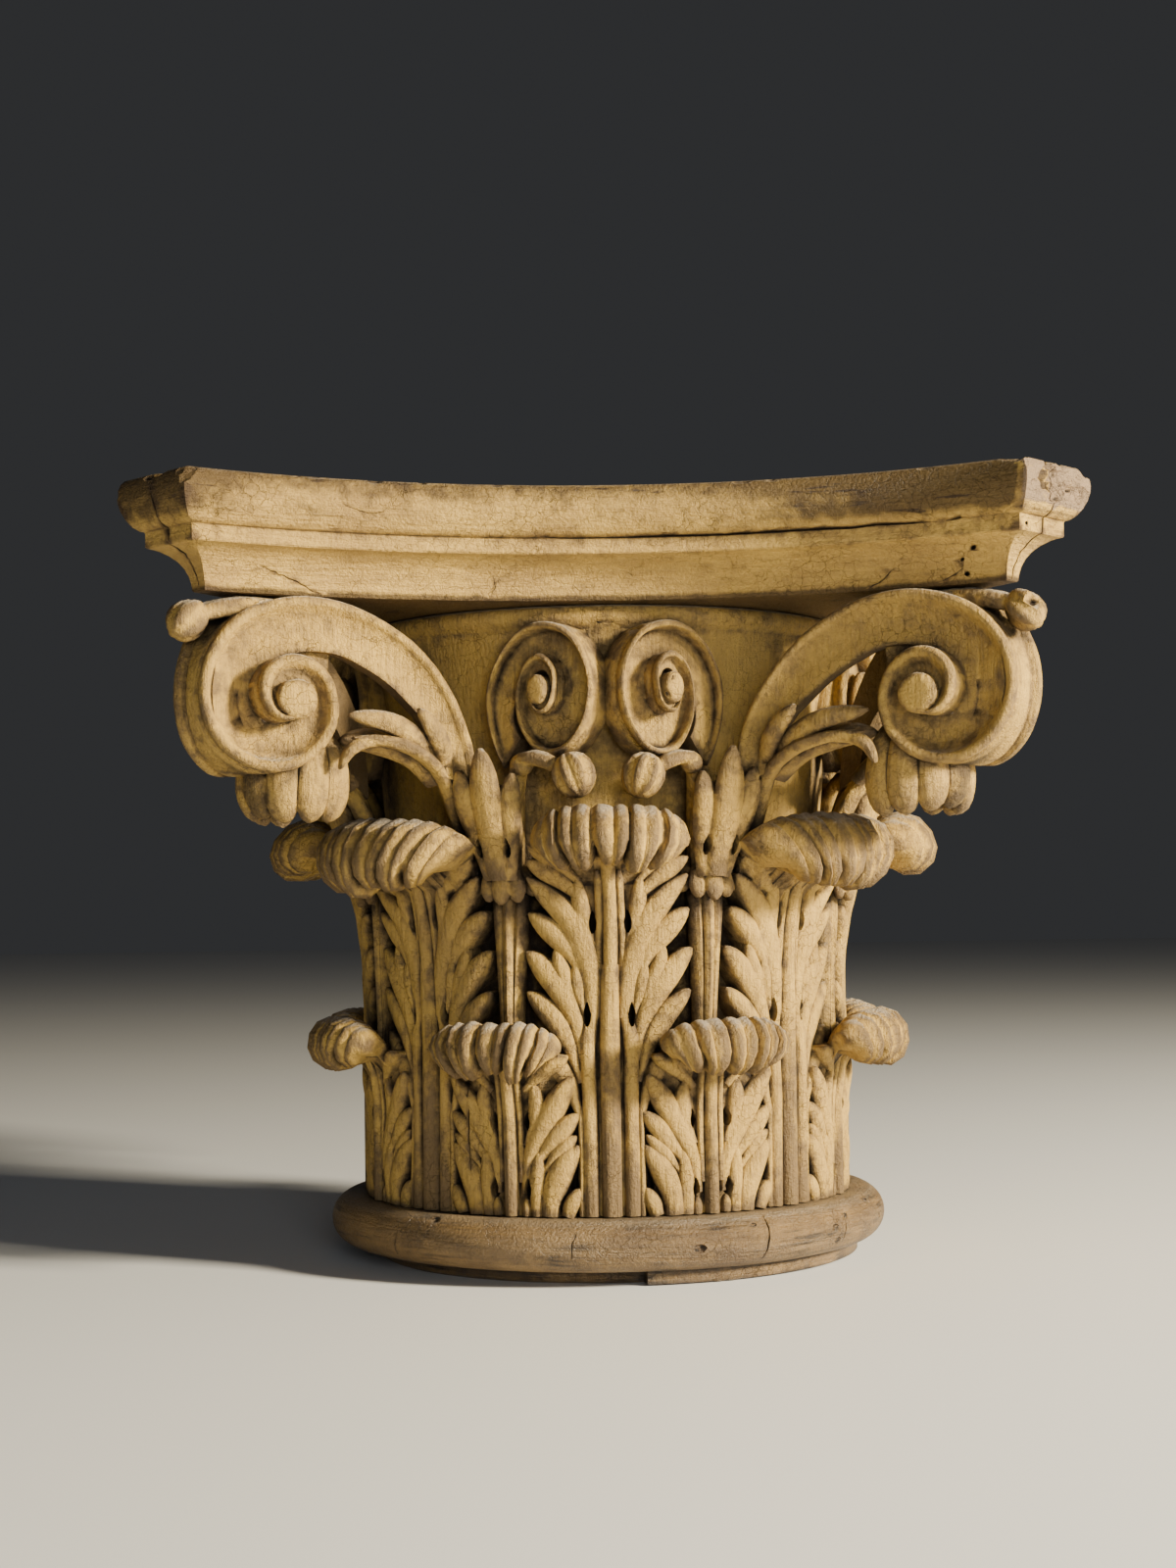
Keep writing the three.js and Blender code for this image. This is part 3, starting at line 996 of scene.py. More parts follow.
@dataclass
class CupAndStalk:
    """Stalk with a petalled collar, the three-lobed cup and its two sweeping leaves, on the right half."""

    azimuth: float = 22.5

    def on_bell(self, t: float, r: float, z: float) -> Point:
        """Place a point by its way across, its radius and its height."""
        angle = math.radians(self.azimuth) + t / r
        return (r * math.sin(angle), -r * math.cos(angle), z)

    def outward(self) -> Point:
        """Give the direction away from the axis at the stalk."""
        angle = math.radians(self.azimuth)
        return (math.sin(angle), -math.cos(angle), 0.0)

    def stalk(self) -> list[bpy.types.Object]:
        """Make the fluted stalk and its collar.

        Returns:
            The bodies.
        """
        out = self.outward()
        parts = []
        for t, r in ((-1.0, 70.2), (0.0, 71.2), (1.0, 70.2)):
            points = (
                self.on_bell(t * 1.3, r, 50),
                self.on_bell(t * 2.0, r, 80),
                self.on_bell(t * 3.5, r + 1.2, 110),
            )
            parts.append(Sprig(points, 2.25, 3.4, out, 0.75, 0.95, 0.3, 7, 8).build(f"stalk{t}"))
        petals = (
            (-8.2, 74.0, 2.8, 108.4), (-4.6, 77.4, 3.0, 106.6), (0.0, 78.8, 3.0, 105.8),
            (4.6, 77.4, 3.0, 106.6), (8.2, 74.0, 2.8, 108.4),
        )
        for t, r, w, low in petals:
            points = (
                self.on_bell(t * 0.45, r - 4.4, 115.6),
                self.on_bell(t * 0.75, r - 1.2, 113.4),
                self.on_bell(t, r, low),
            )
            parts.append(Sprig(points, w, 2.2, out, 0.8, 0.6, 0.6, 8, 8).build(f"collar{t}"))
        core = LobedBall(self.on_bell(0, 71.5, 112.4), (0, 0, 1), 7.0, 4.2, 3, 0.0)
        parts.append(core.build("collar_core"))
        return parts

    def cup(self, plane: Scroll) -> list[bpy.types.Object]:
        """Make the lobes of the cup and the leaf that runs under the volute.

        Args:
            plane: The volute whose plane the leaf follows.

        Returns:
            The bodies.
        """
        out = self.outward()
        lobes = (
            (((0.0, 79.2, 113.4), (0.2, 83.4, 125), (0.5, 87.4, 138), (0.8, 89.6, 149.4)),
             4.6, 2.8, 0.74, 0.6),
            (((2.2, 77.8, 113.4), (4.2, 82.0, 125), (6.4, 86.2, 135), (8.2, 88.4, 143.6)),
             4.2, 2.8, 0.74, 0.58),
            (((-2.2, 77.8, 113.4), (-3.8, 81.4, 125), (-5.6, 84.6, 134.5), (-7.0, 86.0, 142.2)),
             4.0, 2.7, 0.74, 0.58),
            (((0.0, 74.2, 113.0), (0.3, 79.0, 126), (0.8, 83.4, 140)), 8.2, 5.6, 0.66, 0.62),
        )
        parts = []
        for k, (points, w, h, foot, widest) in enumerate(lobes):
            spots = tuple(self.on_bell(*p) for p in points)
            parts.append(Sprig(spots, w, h, out, foot, widest, 0.6).build(f"cup{k}"))
        normal = tuple(plane.frame()[2])
        sweeps = (
            (((1.5, 114, -12), (5.8, 125, -10.5), (10.4, 136, -7.6), (16, 143.4, -3.2), (25, 148.4, 1.0),
              (35, 150.4, 2.8), (45.5, 150.8, 2.6)), 1.9, 3.0, 0.9, 0.7),
            (((11.5, 138.5, -6.6), (16.6, 145.6, -3.2), (24, 151.4, 1.2), (34, 155.3, 3.0),
              (46.6, 157.2, 2.8)), 3.1, 2.3, 0.35, 0.62),
            (((35, 150, 1.6), (41.4, 149.8, 2.6), (45.8, 147.2, 2.6), (48.2, 142.2, 2.0)),
             1.9, 2.4, 0.7, 0.5),
            (((9.4, 136.5, -9), (13.4, 145, -3.4), (18.6, 152.4, 2.4), (25.8, 159.4, 4.8)),
             3.0, 2.2, 0.45, 0.62),
            (((15, 140.6, -9), (24, 147.4, -6.4), (36, 151.0, -5), (46, 151, -4)), 3.4, 4.2, 0.7, 0.7),
        )
        for k, (points, w, h, foot, widest) in enumerate(sweeps):
            spots = tuple(tuple(plane.place(*p)) for p in points)
            parts.append(Sprig(spots, w, h, normal, foot, widest, 0.55, 14).build(f"sweep{k}"))
        return parts

    def eyes(self) -> list[bpy.types.Object]:
        """Make the drill shapes of the two eyes at the foot of the cup.

        Returns:
            The cutters.
        """
        cutters = []
        for t in (-4.0, 4.0):
            rings = []
            for r in (78.0, 82.0, 92.0):
                ring = []
                for k in range(10):
                    turn = 2 * math.pi * k / 10
                    wide = 1.15 * (1 - 0.45 * max(math.sin(turn), 0))
                    ring.append(self.on_bell(t + wide * math.cos(turn), r, 121.6 + 2.9 * math.sin(turn)))
                rings.append(ring)
            cutters.append(tube("cup_eye", np.array(rings)))
        return cutters

    def pearl(self, plane: Scroll) -> list[bpy.types.Object]:
        """Make the hooked strand and its fluted ball under the inner helix.

        Args:
            plane: The helix whose plane the strand follows.

        Returns:
            The bodies.
        """
        normal = tuple(plane.frame()[2])
        along = plane.frame()[1]
        hook = (
            (2.5, 116, -9), (4.4, 128, -6), (6.2, 139, -2),
            (9.0, 145.4, 0.6), (14.5, 146.0, 1.0), (21, 143.0, 0.6),
        )
        spots = tuple(tuple(plane.place(*p)) for p in hook)
        parts = [Sprig(spots, 2.3, 3.4, normal, 0.8, 0.9, 0.3, 13).build("pearl_hook")]
        elbow = LobedBall(tuple(plane.place(9.2, 144.6, 0.8)), (0, 0, 1), 3.3, 3.2, 3, 0.0)
        parts.append(elbow.build("pearl_elbow"))
        axis = (along[0] * 0.35, along[1] * 0.35, -0.94)
        pearl = LobedBall(tuple(plane.place(25.2, 141.0, 0.6)), axis, 6.5, 6.4, 8, 1.5, 0.6)
        parts.append(pearl.build("pearl"))
        return parts


@dataclass
class Corner:
    """What fills a corner between its two volutes: knob, strands and hanging tongue, at the front right."""

    azimuth: float = 45.0
    tongue_at: float = 120.5
    tongue_turns: tuple[float, ...] = (-104.0, -70.0, -35.0, 0.0, 35.0, 70.0, 104.0)

    def spot(self, t: float, r: float, z: float) -> Point:
        """Place a point across the diagonal, along it and by height."""
        a = math.radians(self.azimuth)
        return (r * math.sin(a) + t * math.cos(a), -r * math.cos(a) + t * math.sin(a), z)

    def build(self) -> list[bpy.types.Object]:
        """Make the knob, its strands and the tongue.

        Returns:
            The bodies.
        """
        parts = self.tongue()
        for t in (-3.0, 0.0, 3.0):
            points = (
                self.spot(t * 2.4, 104, 184.6),
                self.spot(t * 1.9, 124, 186.4),
                self.spot(t * 1.1, 144, 186.4),
                self.spot(t * 0.6, 156, 183.0),
            )
            parts.append(Sprig(points, 3.0, 2.8, (0, 0, 1), 0.8, 0.6, 0.35, 10, 8).build(f"strand{t}"))
        a = math.radians(self.azimuth)
        axis = (math.sin(a) * 0.7, -math.cos(a) * 0.7, -0.6)
        knob = LobedBall(self.spot(0, 157.0, 182.0), axis, 5.6, 6.4, 5, 1.3)
        parts.append(knob.build("knob"))
        return parts

    def tongue(self) -> list[bpy.types.Object]:
        """Make the hanging tongue as a core with fingers all round it.

        Returns:
            The bodies.
        """
        rng = random.Random(31)
        core = LobedBall(self.spot(0, self.tongue_at, 145.0), (0, 0, 1), 9.4, 11.4, 3, 0.0)
        parts = [core.build("tongue_core")]
        for turn in self.tongue_turns:
            a = math.radians(turn)
            slip = rng.uniform(-1.2, 1.2)
            course = (
                (3.0, 154.0), (8.2, 152.6), (12.0, 147.0),
                (13.4 + 0.3 * slip, 139.6), (12.2, 133.2 + slip), (9.4, 130.2 + slip),
            )
            points = tuple(
                self.spot(reach * math.sin(a), self.tongue_at + reach * math.cos(a), z) for reach, z in course
            )
            way = np.subtract(self.spot(math.sin(a), math.cos(a), 0.7), self.spot(0, 0, 0))
            parts.append(Sprig(points, 4.8, 2.9, tuple(way), 0.6, 0.7, 0.45, 14, 12).build(f"tongue{turn}"))
        return parts

    def wedge(self, volute: Scroll) -> bpy.types.Object:
        """Make the solid that ties the two coils of a corner together.

        Args:
            volute: The volute of the right half of the front.

        Returns:
            The wedge with its grooved outer edge.
        """
        angles = np.arange(60, 330, 9.0)
        outer = smooth_table(volute.outer, angles)
        grooves = (
            (0.0, 1.2), (0.16, 0.6), (0.26, 2.4), (0.4, 3.6), (0.5, 3.8),
            (0.6, 3.6), (0.74, 2.4), (0.84, 0.6), (1.0, 1.2),
        )
        rows = []
        for share, inset in grooves:
            ring = []
            for angle, ro in zip(angles, outer):
                p = volute.at(float(angle), float(max(ro - inset, 5.0)), -6.6)
                q = np.array([-p[1], -p[0], p[2]])
                ring.append(p + (q - p) * share)
            rows.append(ring)
        return tube("wedge", np.array(rows))


@dataclass
class Damage:
    """Chips, splits and worm holes that the capital has taken."""

    seed: int = 41
    split_sections: int = 26
    hole_sides: int = 10

    def lump(self, centre: Point, radii: Point, rough: float, fine: int = 3) -> bpy.types.Object:
        """Make an uneven lump that breaks a piece away.

        Args:
            centre: Middle of the lump.
            radii: Its half sizes.
            rough: Unevenness as a share of its size.
            fine: Fineness of its surface.

        Returns:
            The lump.
        """
        deselect()
        bpy.ops.mesh.primitive_ico_sphere_add(subdivisions=fine, radius=1.0)
        body = bpy.context.object
        shift = Vector(centre) * 0.37
        for vert in body.data.vertices:
            p = vert.co.copy()
            uneven = noise.noise(p * 1.7 + shift) + 0.6 * noise.noise(p * 4.1 + shift)
            uneven += 0.35 * noise.noise(p * 9.0 + shift)
            sized = Vector((p.x * radii[0], p.y * radii[1], p.z * radii[2]))
            vert.co = sized * (1 + rough * uneven) * MM + Vector(centre) * MM
        return body

    def split(
        self, points: tuple[Point, ...], inward: Point, gap: float, depth: float, wander: float
    ) -> bpy.types.Object:
        """Make a narrow wandering split.

        Args:
            points: Course of the split on the surface.
            inward: Direction into the material.
            gap: Half width at the surface.
            depth: Depth of the split.
            wander: How far the split strays from its course.

        Returns:
            The cutter.
        """
        line = curve_points(points, self.split_sections)
        along = directions(line)
        into = np.array(inward) / np.linalg.norm(inward)
        rings = []
        for i in range(self.split_sections):
            across = np.cross(along[i], into)
            across /= max(np.linalg.norm(across), 1e-6)
            p = Vector(line[i]) * 0.21
            stray = across * wander * (noise.noise(p) + 0.5 * noise.noise(p * 3.1))
            open_by = 0.35 + 0.65 * math.sin(math.pi * (i + 0.5) / self.split_sections)
            wide = gap * open_by * (1 + 0.5 * noise.noise(p * 2.3))
            middle = line[i] + stray
            rings.append([
                middle - into * 1.5 + across * wide,
                middle + into * depth * 0.4 + across * wide * 0.7,
                middle + into * depth,
                middle + into * depth * 0.4 - across * wide * 0.7,
                middle - into * 1.5 - across * wide,
            ])
        return tube("split", np.array(rings))

    def hole(self, spot: Point, inward: Point, radius: float) -> bpy.types.Object:
        """Make one worm hole.

        Args:
            spot: Middle of the hole on the surface.
            inward: Direction into the material.
            radius: Radius of the hole.

        Returns:
            The cutter.
        """
        into = np.array(inward) / np.linalg.norm(inward)
        across = np.cross(into, np.array([0.0, 0.0, 1.0]))
        across /= np.linalg.norm(across)
        up = np.cross(across, into)
        rings = []
        for depth, share in ((-2.0, 1.0), (1.0, 1.0), (3.5, 0.8)):
            ring = []
            for k in range(self.hole_sides):
                turn = 2 * math.pi * k / self.hole_sides
                beside = across * math.cos(turn) + up * math.sin(turn)
                ring.append(np.array(spot) + into * depth + beside * radius * share)
            rings.append(ring)
        return tube("hole", np.array(rings))

    def on_board(self, board: "Abacus") -> list[bpy.types.Object]:
        """Make all cutters for the abacus.

        Args:
            board: The abacus with its sizes.

        Returns:
            The cutters.
        """
        rng = random.Random(self.seed)
        cutters = [
            self.lump((126.9, -126.9, 214.5), (13.8, 13.8, 9.4), 0.15, 5),
            self.lump((120.0, -132.2, 213.0), (11.0, 11.0, 8.0), 0.16, 5),
            self.lump((132.0, -119.6, 214.0), (11.0, 11.0, 8.0), 0.16, 5),
            self.lump((112.0, -134.0, 219.0), (6.5, 6.0, 6.0), 0.14, 4),
            self.lump((131.0, -110.0, 221.0), (5.0, 7.0, 4.5), 0.14, 4),
            self.lump((-110.5, -133.2, 220.8), (10.0, 7.4, 6.0), 0.18, 4),
            self.lump((-124.0, -124.0, 222.0), (10.0, 10.0, 5.6), 0.18, 4),
            self.lump((-134.0, -112.0, 218.0), (5.4, 6.0, 7.0), 0.14, 4),
            self.lump((122.0, -122.0, 203.4), (4.2, 4.2, 2.6), 0.16),
        ]
        edge = board.outline(1.2)
        for _ in range(46):
            x, y = edge[rng.randrange(len(edge))]
            size = rng.uniform(0.9, 2.4)
            centre = (x * 1.006, y * 1.006, board.top + size * 0.4)
            radii = (size * rng.uniform(1, 2.2), size * rng.uniform(1, 2.2), size)
            cutters.append(self.lump(centre, radii, 0.2))
        for sx, sy, gap in ((-1, -1, 0.55), (1, -1, 0.5), (1, 1, 0.35), (-1, 1, 0.3)):
            course = ((119.5, 219), (119.4, 211), (115.8, 204), (111.4, 197), (108.8, 190.6))
            points = tuple((sx * reach, sy * reach, z) for reach, z in course)
            cutters.append(self.split(points, (-sx, -sy, 0), gap, 5.0, 1.2))
        seam = board.outline(4.9)
        front = [p for p in seam if p[1] < -60 and -18 < p[0] < 107]
        points = tuple((float(p[0]), float(p[1]), 206.15) for p in front[::4])
        cutters.append(self.split(points, (0, 1, -0.1), 0.3, 4.0, 0.25))
        cracks = (
            (((-92, 196.5), (-84, 194), (-77, 190.6)), 0.16),
            (((-31, 196.5), (-30, 193.5), (-32, 190.6)), 0.13),
            (((72, 190.6), (76, 192.4), (79, 195.6)), 0.15),
            (((91, 191), (96, 194.4)), 0.14),
            (((-70, 213), (-63, 211), (-58, 212.5)), 0.12),
        )
        for line, gap in cracks:
            points = tuple((x, self.front_of(board, x, z), z) for x, z in line)
            cutters.append(self.split(points, (0, 1, 0), gap, 2.6, 0.8))
        holes = ((98.0, 199.0, 0.62), (95.6, 196.4, 0.5), (97.0, 192.6, 0.66), (110.0, 203.6, 0.5))
        for x, z, radius in holes:
            cutters.append(self.hole((x, self.front_of(board, x, z), z), (-0.1, 1, 0), radius))
        return cutters

    def front_of(self, board: "Abacus", x: float, z: float) -> float:
        """Give the depth of the abacus front at a place.

        Args:
            board: The abacus with its sizes.
            x: Place across.
            z: Height.

        Returns:
            The place along Y of its surface.
        """
        table = [p for p in board.profile if p[0] < board.moulding]
        inset = float(np.interp(z, [p[1] for p in table], [p[0] for p in table]))
        ring = board.outline(inset)
        front = ring[np.abs(ring[:, 0]) <= -ring[:, 1]]
        order = np.argsort(front[:, 0])
        return float(np.interp(x, front[order, 0], front[order, 1]))

    def on_bell(self) -> list[bpy.types.Object]:
        """Make all cutters for the carved bell.

        Returns:
            The cutters.
        """
        cutters = [
            self.lump((1.5, -79.6, 183.6), (9.5, 5.0, 3.0), 0.2, 4),
            self.lump((-7.5, -79.0, 186.2), (4.5, 3.6, 2.0), 0.22),
            self.lump((-22.5, -75.6, 188.0), (2.6, 2.0, 1.2), 0.2),
            self.lump((-80.6, -63.4, 127.4), (2.8, 2.8, 1.8), 0.25),
            self.lump((20.4, -86.2, 168.0), (3.2, 2.8, 3.4), 0.3),
            self.lump((113.5, -117.0, 184.6), (4.0, 4.2, 3.0), 0.3),
            self.lump((17.2, -86.2, 162.6), (2.6, 2.4, 2.0), 0.3),
        ]
        for points, gap in (
            (((-2.8, -75.4, 60), (-2.9, -75.4, 40), (-2.7, -75.4, 24)), 0.18),
            (((-40, -62, 60), (-40.4, -62, 45), (-40, -62, 30)), 0.16),
        ):
            cutters.append(self.split(points, (0, 1, 0), gap, 2.0, 0.4))
        return cutters

    def on_ring(self, ring: "BaseRing") -> list[bpy.types.Object]:
        """Make all cutters for the base ring.

        Args:
            ring: The ring with its sizes.

        Returns:
            The cutters.
        """
        cutters = []
        cracks = (
            (30.0, 6.5, 18.0, 0.3), (-8.0, 9.0, 16.0, 0.2), (52.0, 8.0, 15.0, 0.22), (-47.0, 7.0, 14.0, 0.24),
        )
        for azimuth, low, high, gap in cracks:
            points = []
            for z in np.linspace(low, high, 5):
                square = ring.round_radius**2 - (z - ring.round_middle) ** 2
                r = ring.round_centre + math.sqrt(max(square, 0.1))
                points.append(tuple(polar(r, math.radians(azimuth + (z - low) * 0.12), z)))
            a = math.radians(azimuth)
            cutters.append(self.split(tuple(points), (-math.sin(a), math.cos(a), 0), gap, 2.4, 0.7))
        rng = random.Random(self.seed + 1)
        for _ in range(26):
            azimuth, angle, size = rng.uniform(-180, 180), rng.uniform(-25, 60), rng.uniform(0.8, 2.0)
            reach = ring.round_radius + size * 0.72
            r = ring.round_centre + reach * math.cos(math.radians(angle))
            z = ring.round_middle + reach * math.sin(math.radians(angle))
            spot = polar(r, math.radians(azimuth), z)
            cutters.append(self.lump(tuple(spot), (size * 1.5, size * 1.5, size), 0.2))
        return cutters


@dataclass
class CarvedBell:
    """The bell and everything that is carved on it."""

    node: str = "carved_bell"
    profile: Path2 = (
        (66, 18.8), (66, 60), (66, 100), (66.4, 116), (67.5, 132), (69.2, 148), (71.0, 163), (72.6, 176),
        (73.4, 181), (73.6, 183.2), (74.6, 184.2), (75.6, 185.6), (75.9, 187.2), (75.4, 188.8), (74.2, 189.7),
    )
    sides: int = 120
    tremor: float = 0.35
    tremor_from: float = 20.0
    tremor_to: float = 186.0
    most_triangles: int = 192000
    volute_from: Pair = (31.0, 74.5)
    volute_way: Pair = (0.484, 0.875)

    def stain_and_shade(self, p: Vector) -> float:
        """Give the painted shade behind the corner volutes, where the pocket between the coils lies in
        shadow.

        Args:
            p: The place in millimetres.

        Returns:
            The painted shade.
        """
        near, far = sorted((abs(p.x), abs(p.y)))
        start, way = self.volute_from, self.volute_way
        behind = (near - start[0]) * way[0] + (start[1] - far) * way[1]
        inside = ramp(behind, 6.5, 9.5) * ramp(math.hypot(p.x, p.y), 140.0, 128.0)
        dark = max(min(ramp(behind, 6.0, 13.0), 0.9), inside) * ramp(near, 46.0, 55.0)
        return dark * ramp(p.z, 124.0, 134.0) * ramp(p.z, 186.0, 182.0)

    def core(self) -> bpy.types.Object:
        """Turn the bell with its rounded lip.

        Returns:
            The bell without its carving.
        """
        turn = 2 * math.pi * np.arange(self.sides) / self.sides
        rows = [polar(CAP_RADIUS, turn, self.profile[0][1])]
        rows += [polar(r, turn, z) for r, z in self.profile]
        rows.append(polar(CAP_RADIUS, turn, self.profile[-1][1]))
        return tube(self.node + "_shape", np.array(rows))

    def build(self) -> bpy.types.Object:
        """Carve all ornaments once, repeat them round the bell and join them.

        Returns:
            The carved bell as one closed body.
        """
        tall_seeds = ((11, False), (15, True), (19, False), (22, True))
        tall = [upper_leaf(seed, corner).build() for seed, corner in tall_seeds]
        short = [lower_leaf(seed).build() for seed in (23, 27, 33)]
        LOG.info("leaves carved: %d and %d faces", len(tall[0].data.polygons), len(short[0].data.polygons))
        volute, helix = corner_volute(), inner_helix()
        cup = CupAndStalk()
        ornaments = [helix.build(), *cup.stalk(), *cup.cup(volute), *cup.pearl(helix)]
        half = combine(volute.build(), ornaments, Cut.JOIN)
        half = combine(half, cup.eyes(), Cut.TAKE_AWAY)
        LOG.info("half face carved: %d faces", len(half.data.polygons))
        corner = Corner()
        filling = corner.build()
        angle = combine(filling[0], [*filling[1:], corner.wedge(volute)], Cut.JOIN)
        parts = []
        for k in range(8):
            parts.append(turned_copy(tall[k % 4], f"tall{k}", 45.0 * k))
            parts.append(turned_copy(short[k % 3], f"short{k}", 45.0 * k + 22.5))
        for k in range(4):
            parts.append(turned_copy(half, f"right{k}", 90.0 * k))
            parts.append(turned_copy(half, f"left{k}", 90.0 * k, mirror=True))
            parts.append(turned_copy(angle, f"corner{k}", 90.0 * k))
        for once in (*tall, *short, half, angle):
            clear_away(once)
        body = combine(self.core(), parts, Cut.JOIN)
        body = combine(body, Damage().on_bell(), Cut.TAKE_AWAY)
        lighten(body, self.most_triangles)
        self.hand_tremor(body)
        return body

    def hand_tremor(self, body: bpy.types.Object) -> None:
        """Shift the surface a little, as a hand-cut surface wanders.

        Args:
            body: The carved bell.
        """
        mesh = body.data
        for vert in mesh.vertices:
            p = vert.co / MM
            if p.z < self.tremor_from or p.z > self.tremor_to:
                continue
            fade = min(1.0, (p.z - self.tremor_from) / 12, (self.tremor_to - p.z) / 8)
            wide = noise.noise_vector(p * 0.035) * self.tremor * 2.2
            small = noise.noise_vector(p * 0.16 + Vector((7, 3, 1))) * self.tremor * 0.5
            vert.co += (wide + small) * fade * MM
        mesh.update()


@dataclass
class BaseRing:
    """Turned ring: half-round over a fillet that is broken away on the front left."""

    node: str = "base_ring"
    core_radius: float = 70.5
    fillet_radius: float = 76.5
    fillet_height: float = 4.3
    round_radius: float = 7.35
    round_centre: float = 77.55
    seat_radius: float = 75.2
    seat_height: float = 18.5
    kept_from: float = 7.0
    kept_to: float = 242.0
    fillet_steps: int = 150
    sides: int = 220

    @property
    def round_middle(self) -> float:
        """Height of the middle of the half-round."""
        return self.fillet_height + self.round_radius

    def build(self) -> bpy.types.Object:
        """Turn the ring and add what is left of its fillet.

        Returns:
            One closed body.
        """
        core = self.core_radius
        profile = [(CAP_RADIUS, 0.0), (core - 1.2, 0.0), (core, 0.8), (core + 0.6, 3.2)]
        for angle in np.linspace(-100, 78, 19):
            a = math.radians(angle)
            r = self.round_centre + self.round_radius * math.cos(a)
            profile.append((r, self.round_middle + self.round_radius * math.sin(a)))
        profile += [(self.seat_radius, self.seat_height), (CAP_RADIUS, self.seat_height)]
        turn = 2 * math.pi * np.arange(self.sides) / self.sides
        body = tube(self.node + "_shape", np.array([polar(r, turn, z) for r, z in profile]))
        rng = random.Random(5)
        top = self.fillet_height + 1.2
        rings = []
        for i in range(self.fillet_steps):
            share = i / (self.fillet_steps - 1)
            azimuth = math.radians(self.kept_from + (self.kept_to - self.kept_from) * share)
            ragged = 0.0 if 2 < i < self.fillet_steps - 3 else rng.uniform(-0.6, 0.2)
            r = self.fillet_radius + ragged
            section = ((core - 3, 0.0), (r - 0.5, 0.0), (r, 0.5), (r, 2.4), (r - 0.1, top), (core - 3, top))
            rings.append([polar(reach, azimuth, z) for reach, z in section])
        body = combine(body, [tube("fillet", np.array(rings))], Cut.JOIN)
        return combine(body, Damage().on_ring(self), Cut.TAKE_AWAY)


@dataclass
class Abacus:
    """Moulded board with hollow sides and cut corners."""

    node: str = "abacus"
    half: float = 130.0
    cut: float = 21.5
    sag: float = 34.0
    top: float = 220.0
    moulding: float = 20.0
    inner_inset: float = 15.5
    profile: Path2 = (
        (60.0, 190.0), (15.6, 190.0), (15.3, 190.4), (15.1, 192.2), (14.6, 194.2), (13.7, 196.2),
        (12.4, 198.0), (10.6, 199.6), (8.6, 200.8), (7.3, 201.3), (6.0, 201.6), (5.7, 202.0), (5.7, 205.6),
        (5.5, 206.0), (4.6, 206.2), (3.2, 207.2), (1.7, 209.2), (0.7, 211.4), (0.12, 213.6), (0.0, 215.4),
        (0.25, 217.2), (0.8, 218.8), (1.6, 219.7), (2.6, 220.0), (4.6, 220.0), (8.0, 220.0), (15.0, 220.0),
        (25.0, 220.0), (40.0, 220.0), (60.0, 220.0),
    )
    underside: float = 190.4
    broken_from: Pair = (234.0, 206.5)
    arc_steps: int = 56
    cut_steps: int = 10

    def outline(self, inset: float) -> np.ndarray:
        """Give the outline of the board set in from its outermost edge.

        Args:
            inset: Distance in from the edge.

        Returns:
            Points of the outline in order.
        """
        chord = self.half - self.cut
        radius = (chord**2 + self.sag**2) / (2 * self.sag)
        centre = -self.half + self.sag - radius
        arc = radius + inset
        reach = (2 * self.half - self.cut) - inset * math.sqrt(2)
        low, high = 0.0, self.half
        for _ in range(60):
            x = (low + high) / 2
            if centre + math.sqrt(arc**2 - x**2) > -reach + x:
                low = x
            else:
                high = x
        limit = math.asin(low / arc)
        turns = np.linspace(-limit, limit, self.arc_steps + 1)
        side = np.array([(arc * math.sin(u), centre + arc * math.cos(u)) for u in turns])
        rows = []
        for face in range(4):
            points = self.turned(side, face)
            following = self.turned(side[:1], face + 1)[0]
            rows += list(points)
            for k in range(1, self.cut_steps):
                rows.append(points[-1] + (following - points[-1]) * k / self.cut_steps)
        return np.array(rows)

    def turned(self, points: np.ndarray, quarters: int) -> np.ndarray:
        """Turn points of the outline about the axis.

        Args:
            points: Points of two numbers each.
            quarters: Quarter turns.

        Returns:
            The turned points.
        """
        a = math.pi / 2 * quarters
        turn = np.array([[math.cos(a), -math.sin(a)], [math.sin(a), math.cos(a)]])
        return points @ turn.T

    def stain_and_shade(self, p: Vector) -> float:
        """Give the stains and painted shade of a place of the board; below nothing it is bare wood.

        Args:
            p: The place in millimetres.

        Returns:
            The stain.
        """
        # Painted shade: the underside of the board is darkened in full.
        if p.z < self.underside:
            return 1.0
        if p.x - p.y > self.broken_from[0] and p.z > self.broken_from[1]:
            return -1.0 - 0.4 * noise.noise(p * 0.3)
        high = ramp(p.z, 205.5, 209.5)
        near = ramp(-p.y, 55.0, 100.0)
        right = ramp(p.x, 25.0, 80.0) * (0.35 + 0.65 * near)
        rim = ramp(p.z, 213.5, 218.5)
        corner = ramp(abs(p.x) + abs(p.y), 214.0, 228.0)
        return high * (0.75 * right + 0.36) * 0.8 + 0.4 * rim + 0.4 * corner * high

    def build(self) -> bpy.types.Object:
        """Plane the board's moulding round all sides.

        Returns:
            One closed body.
        """
        rings = []
        for inset, z in self.profile:
            if inset > self.moulding:
                ring = self.outline(self.inner_inset) * (1 - inset / 100)
            else:
                ring = self.outline(inset)
            rings.append(np.column_stack([ring, np.full(len(ring), z)]))
        body = tube(self.node + "_shape", np.array(rings))
        return combine(body, Damage().on_board(self), Cut.TAKE_AWAY)


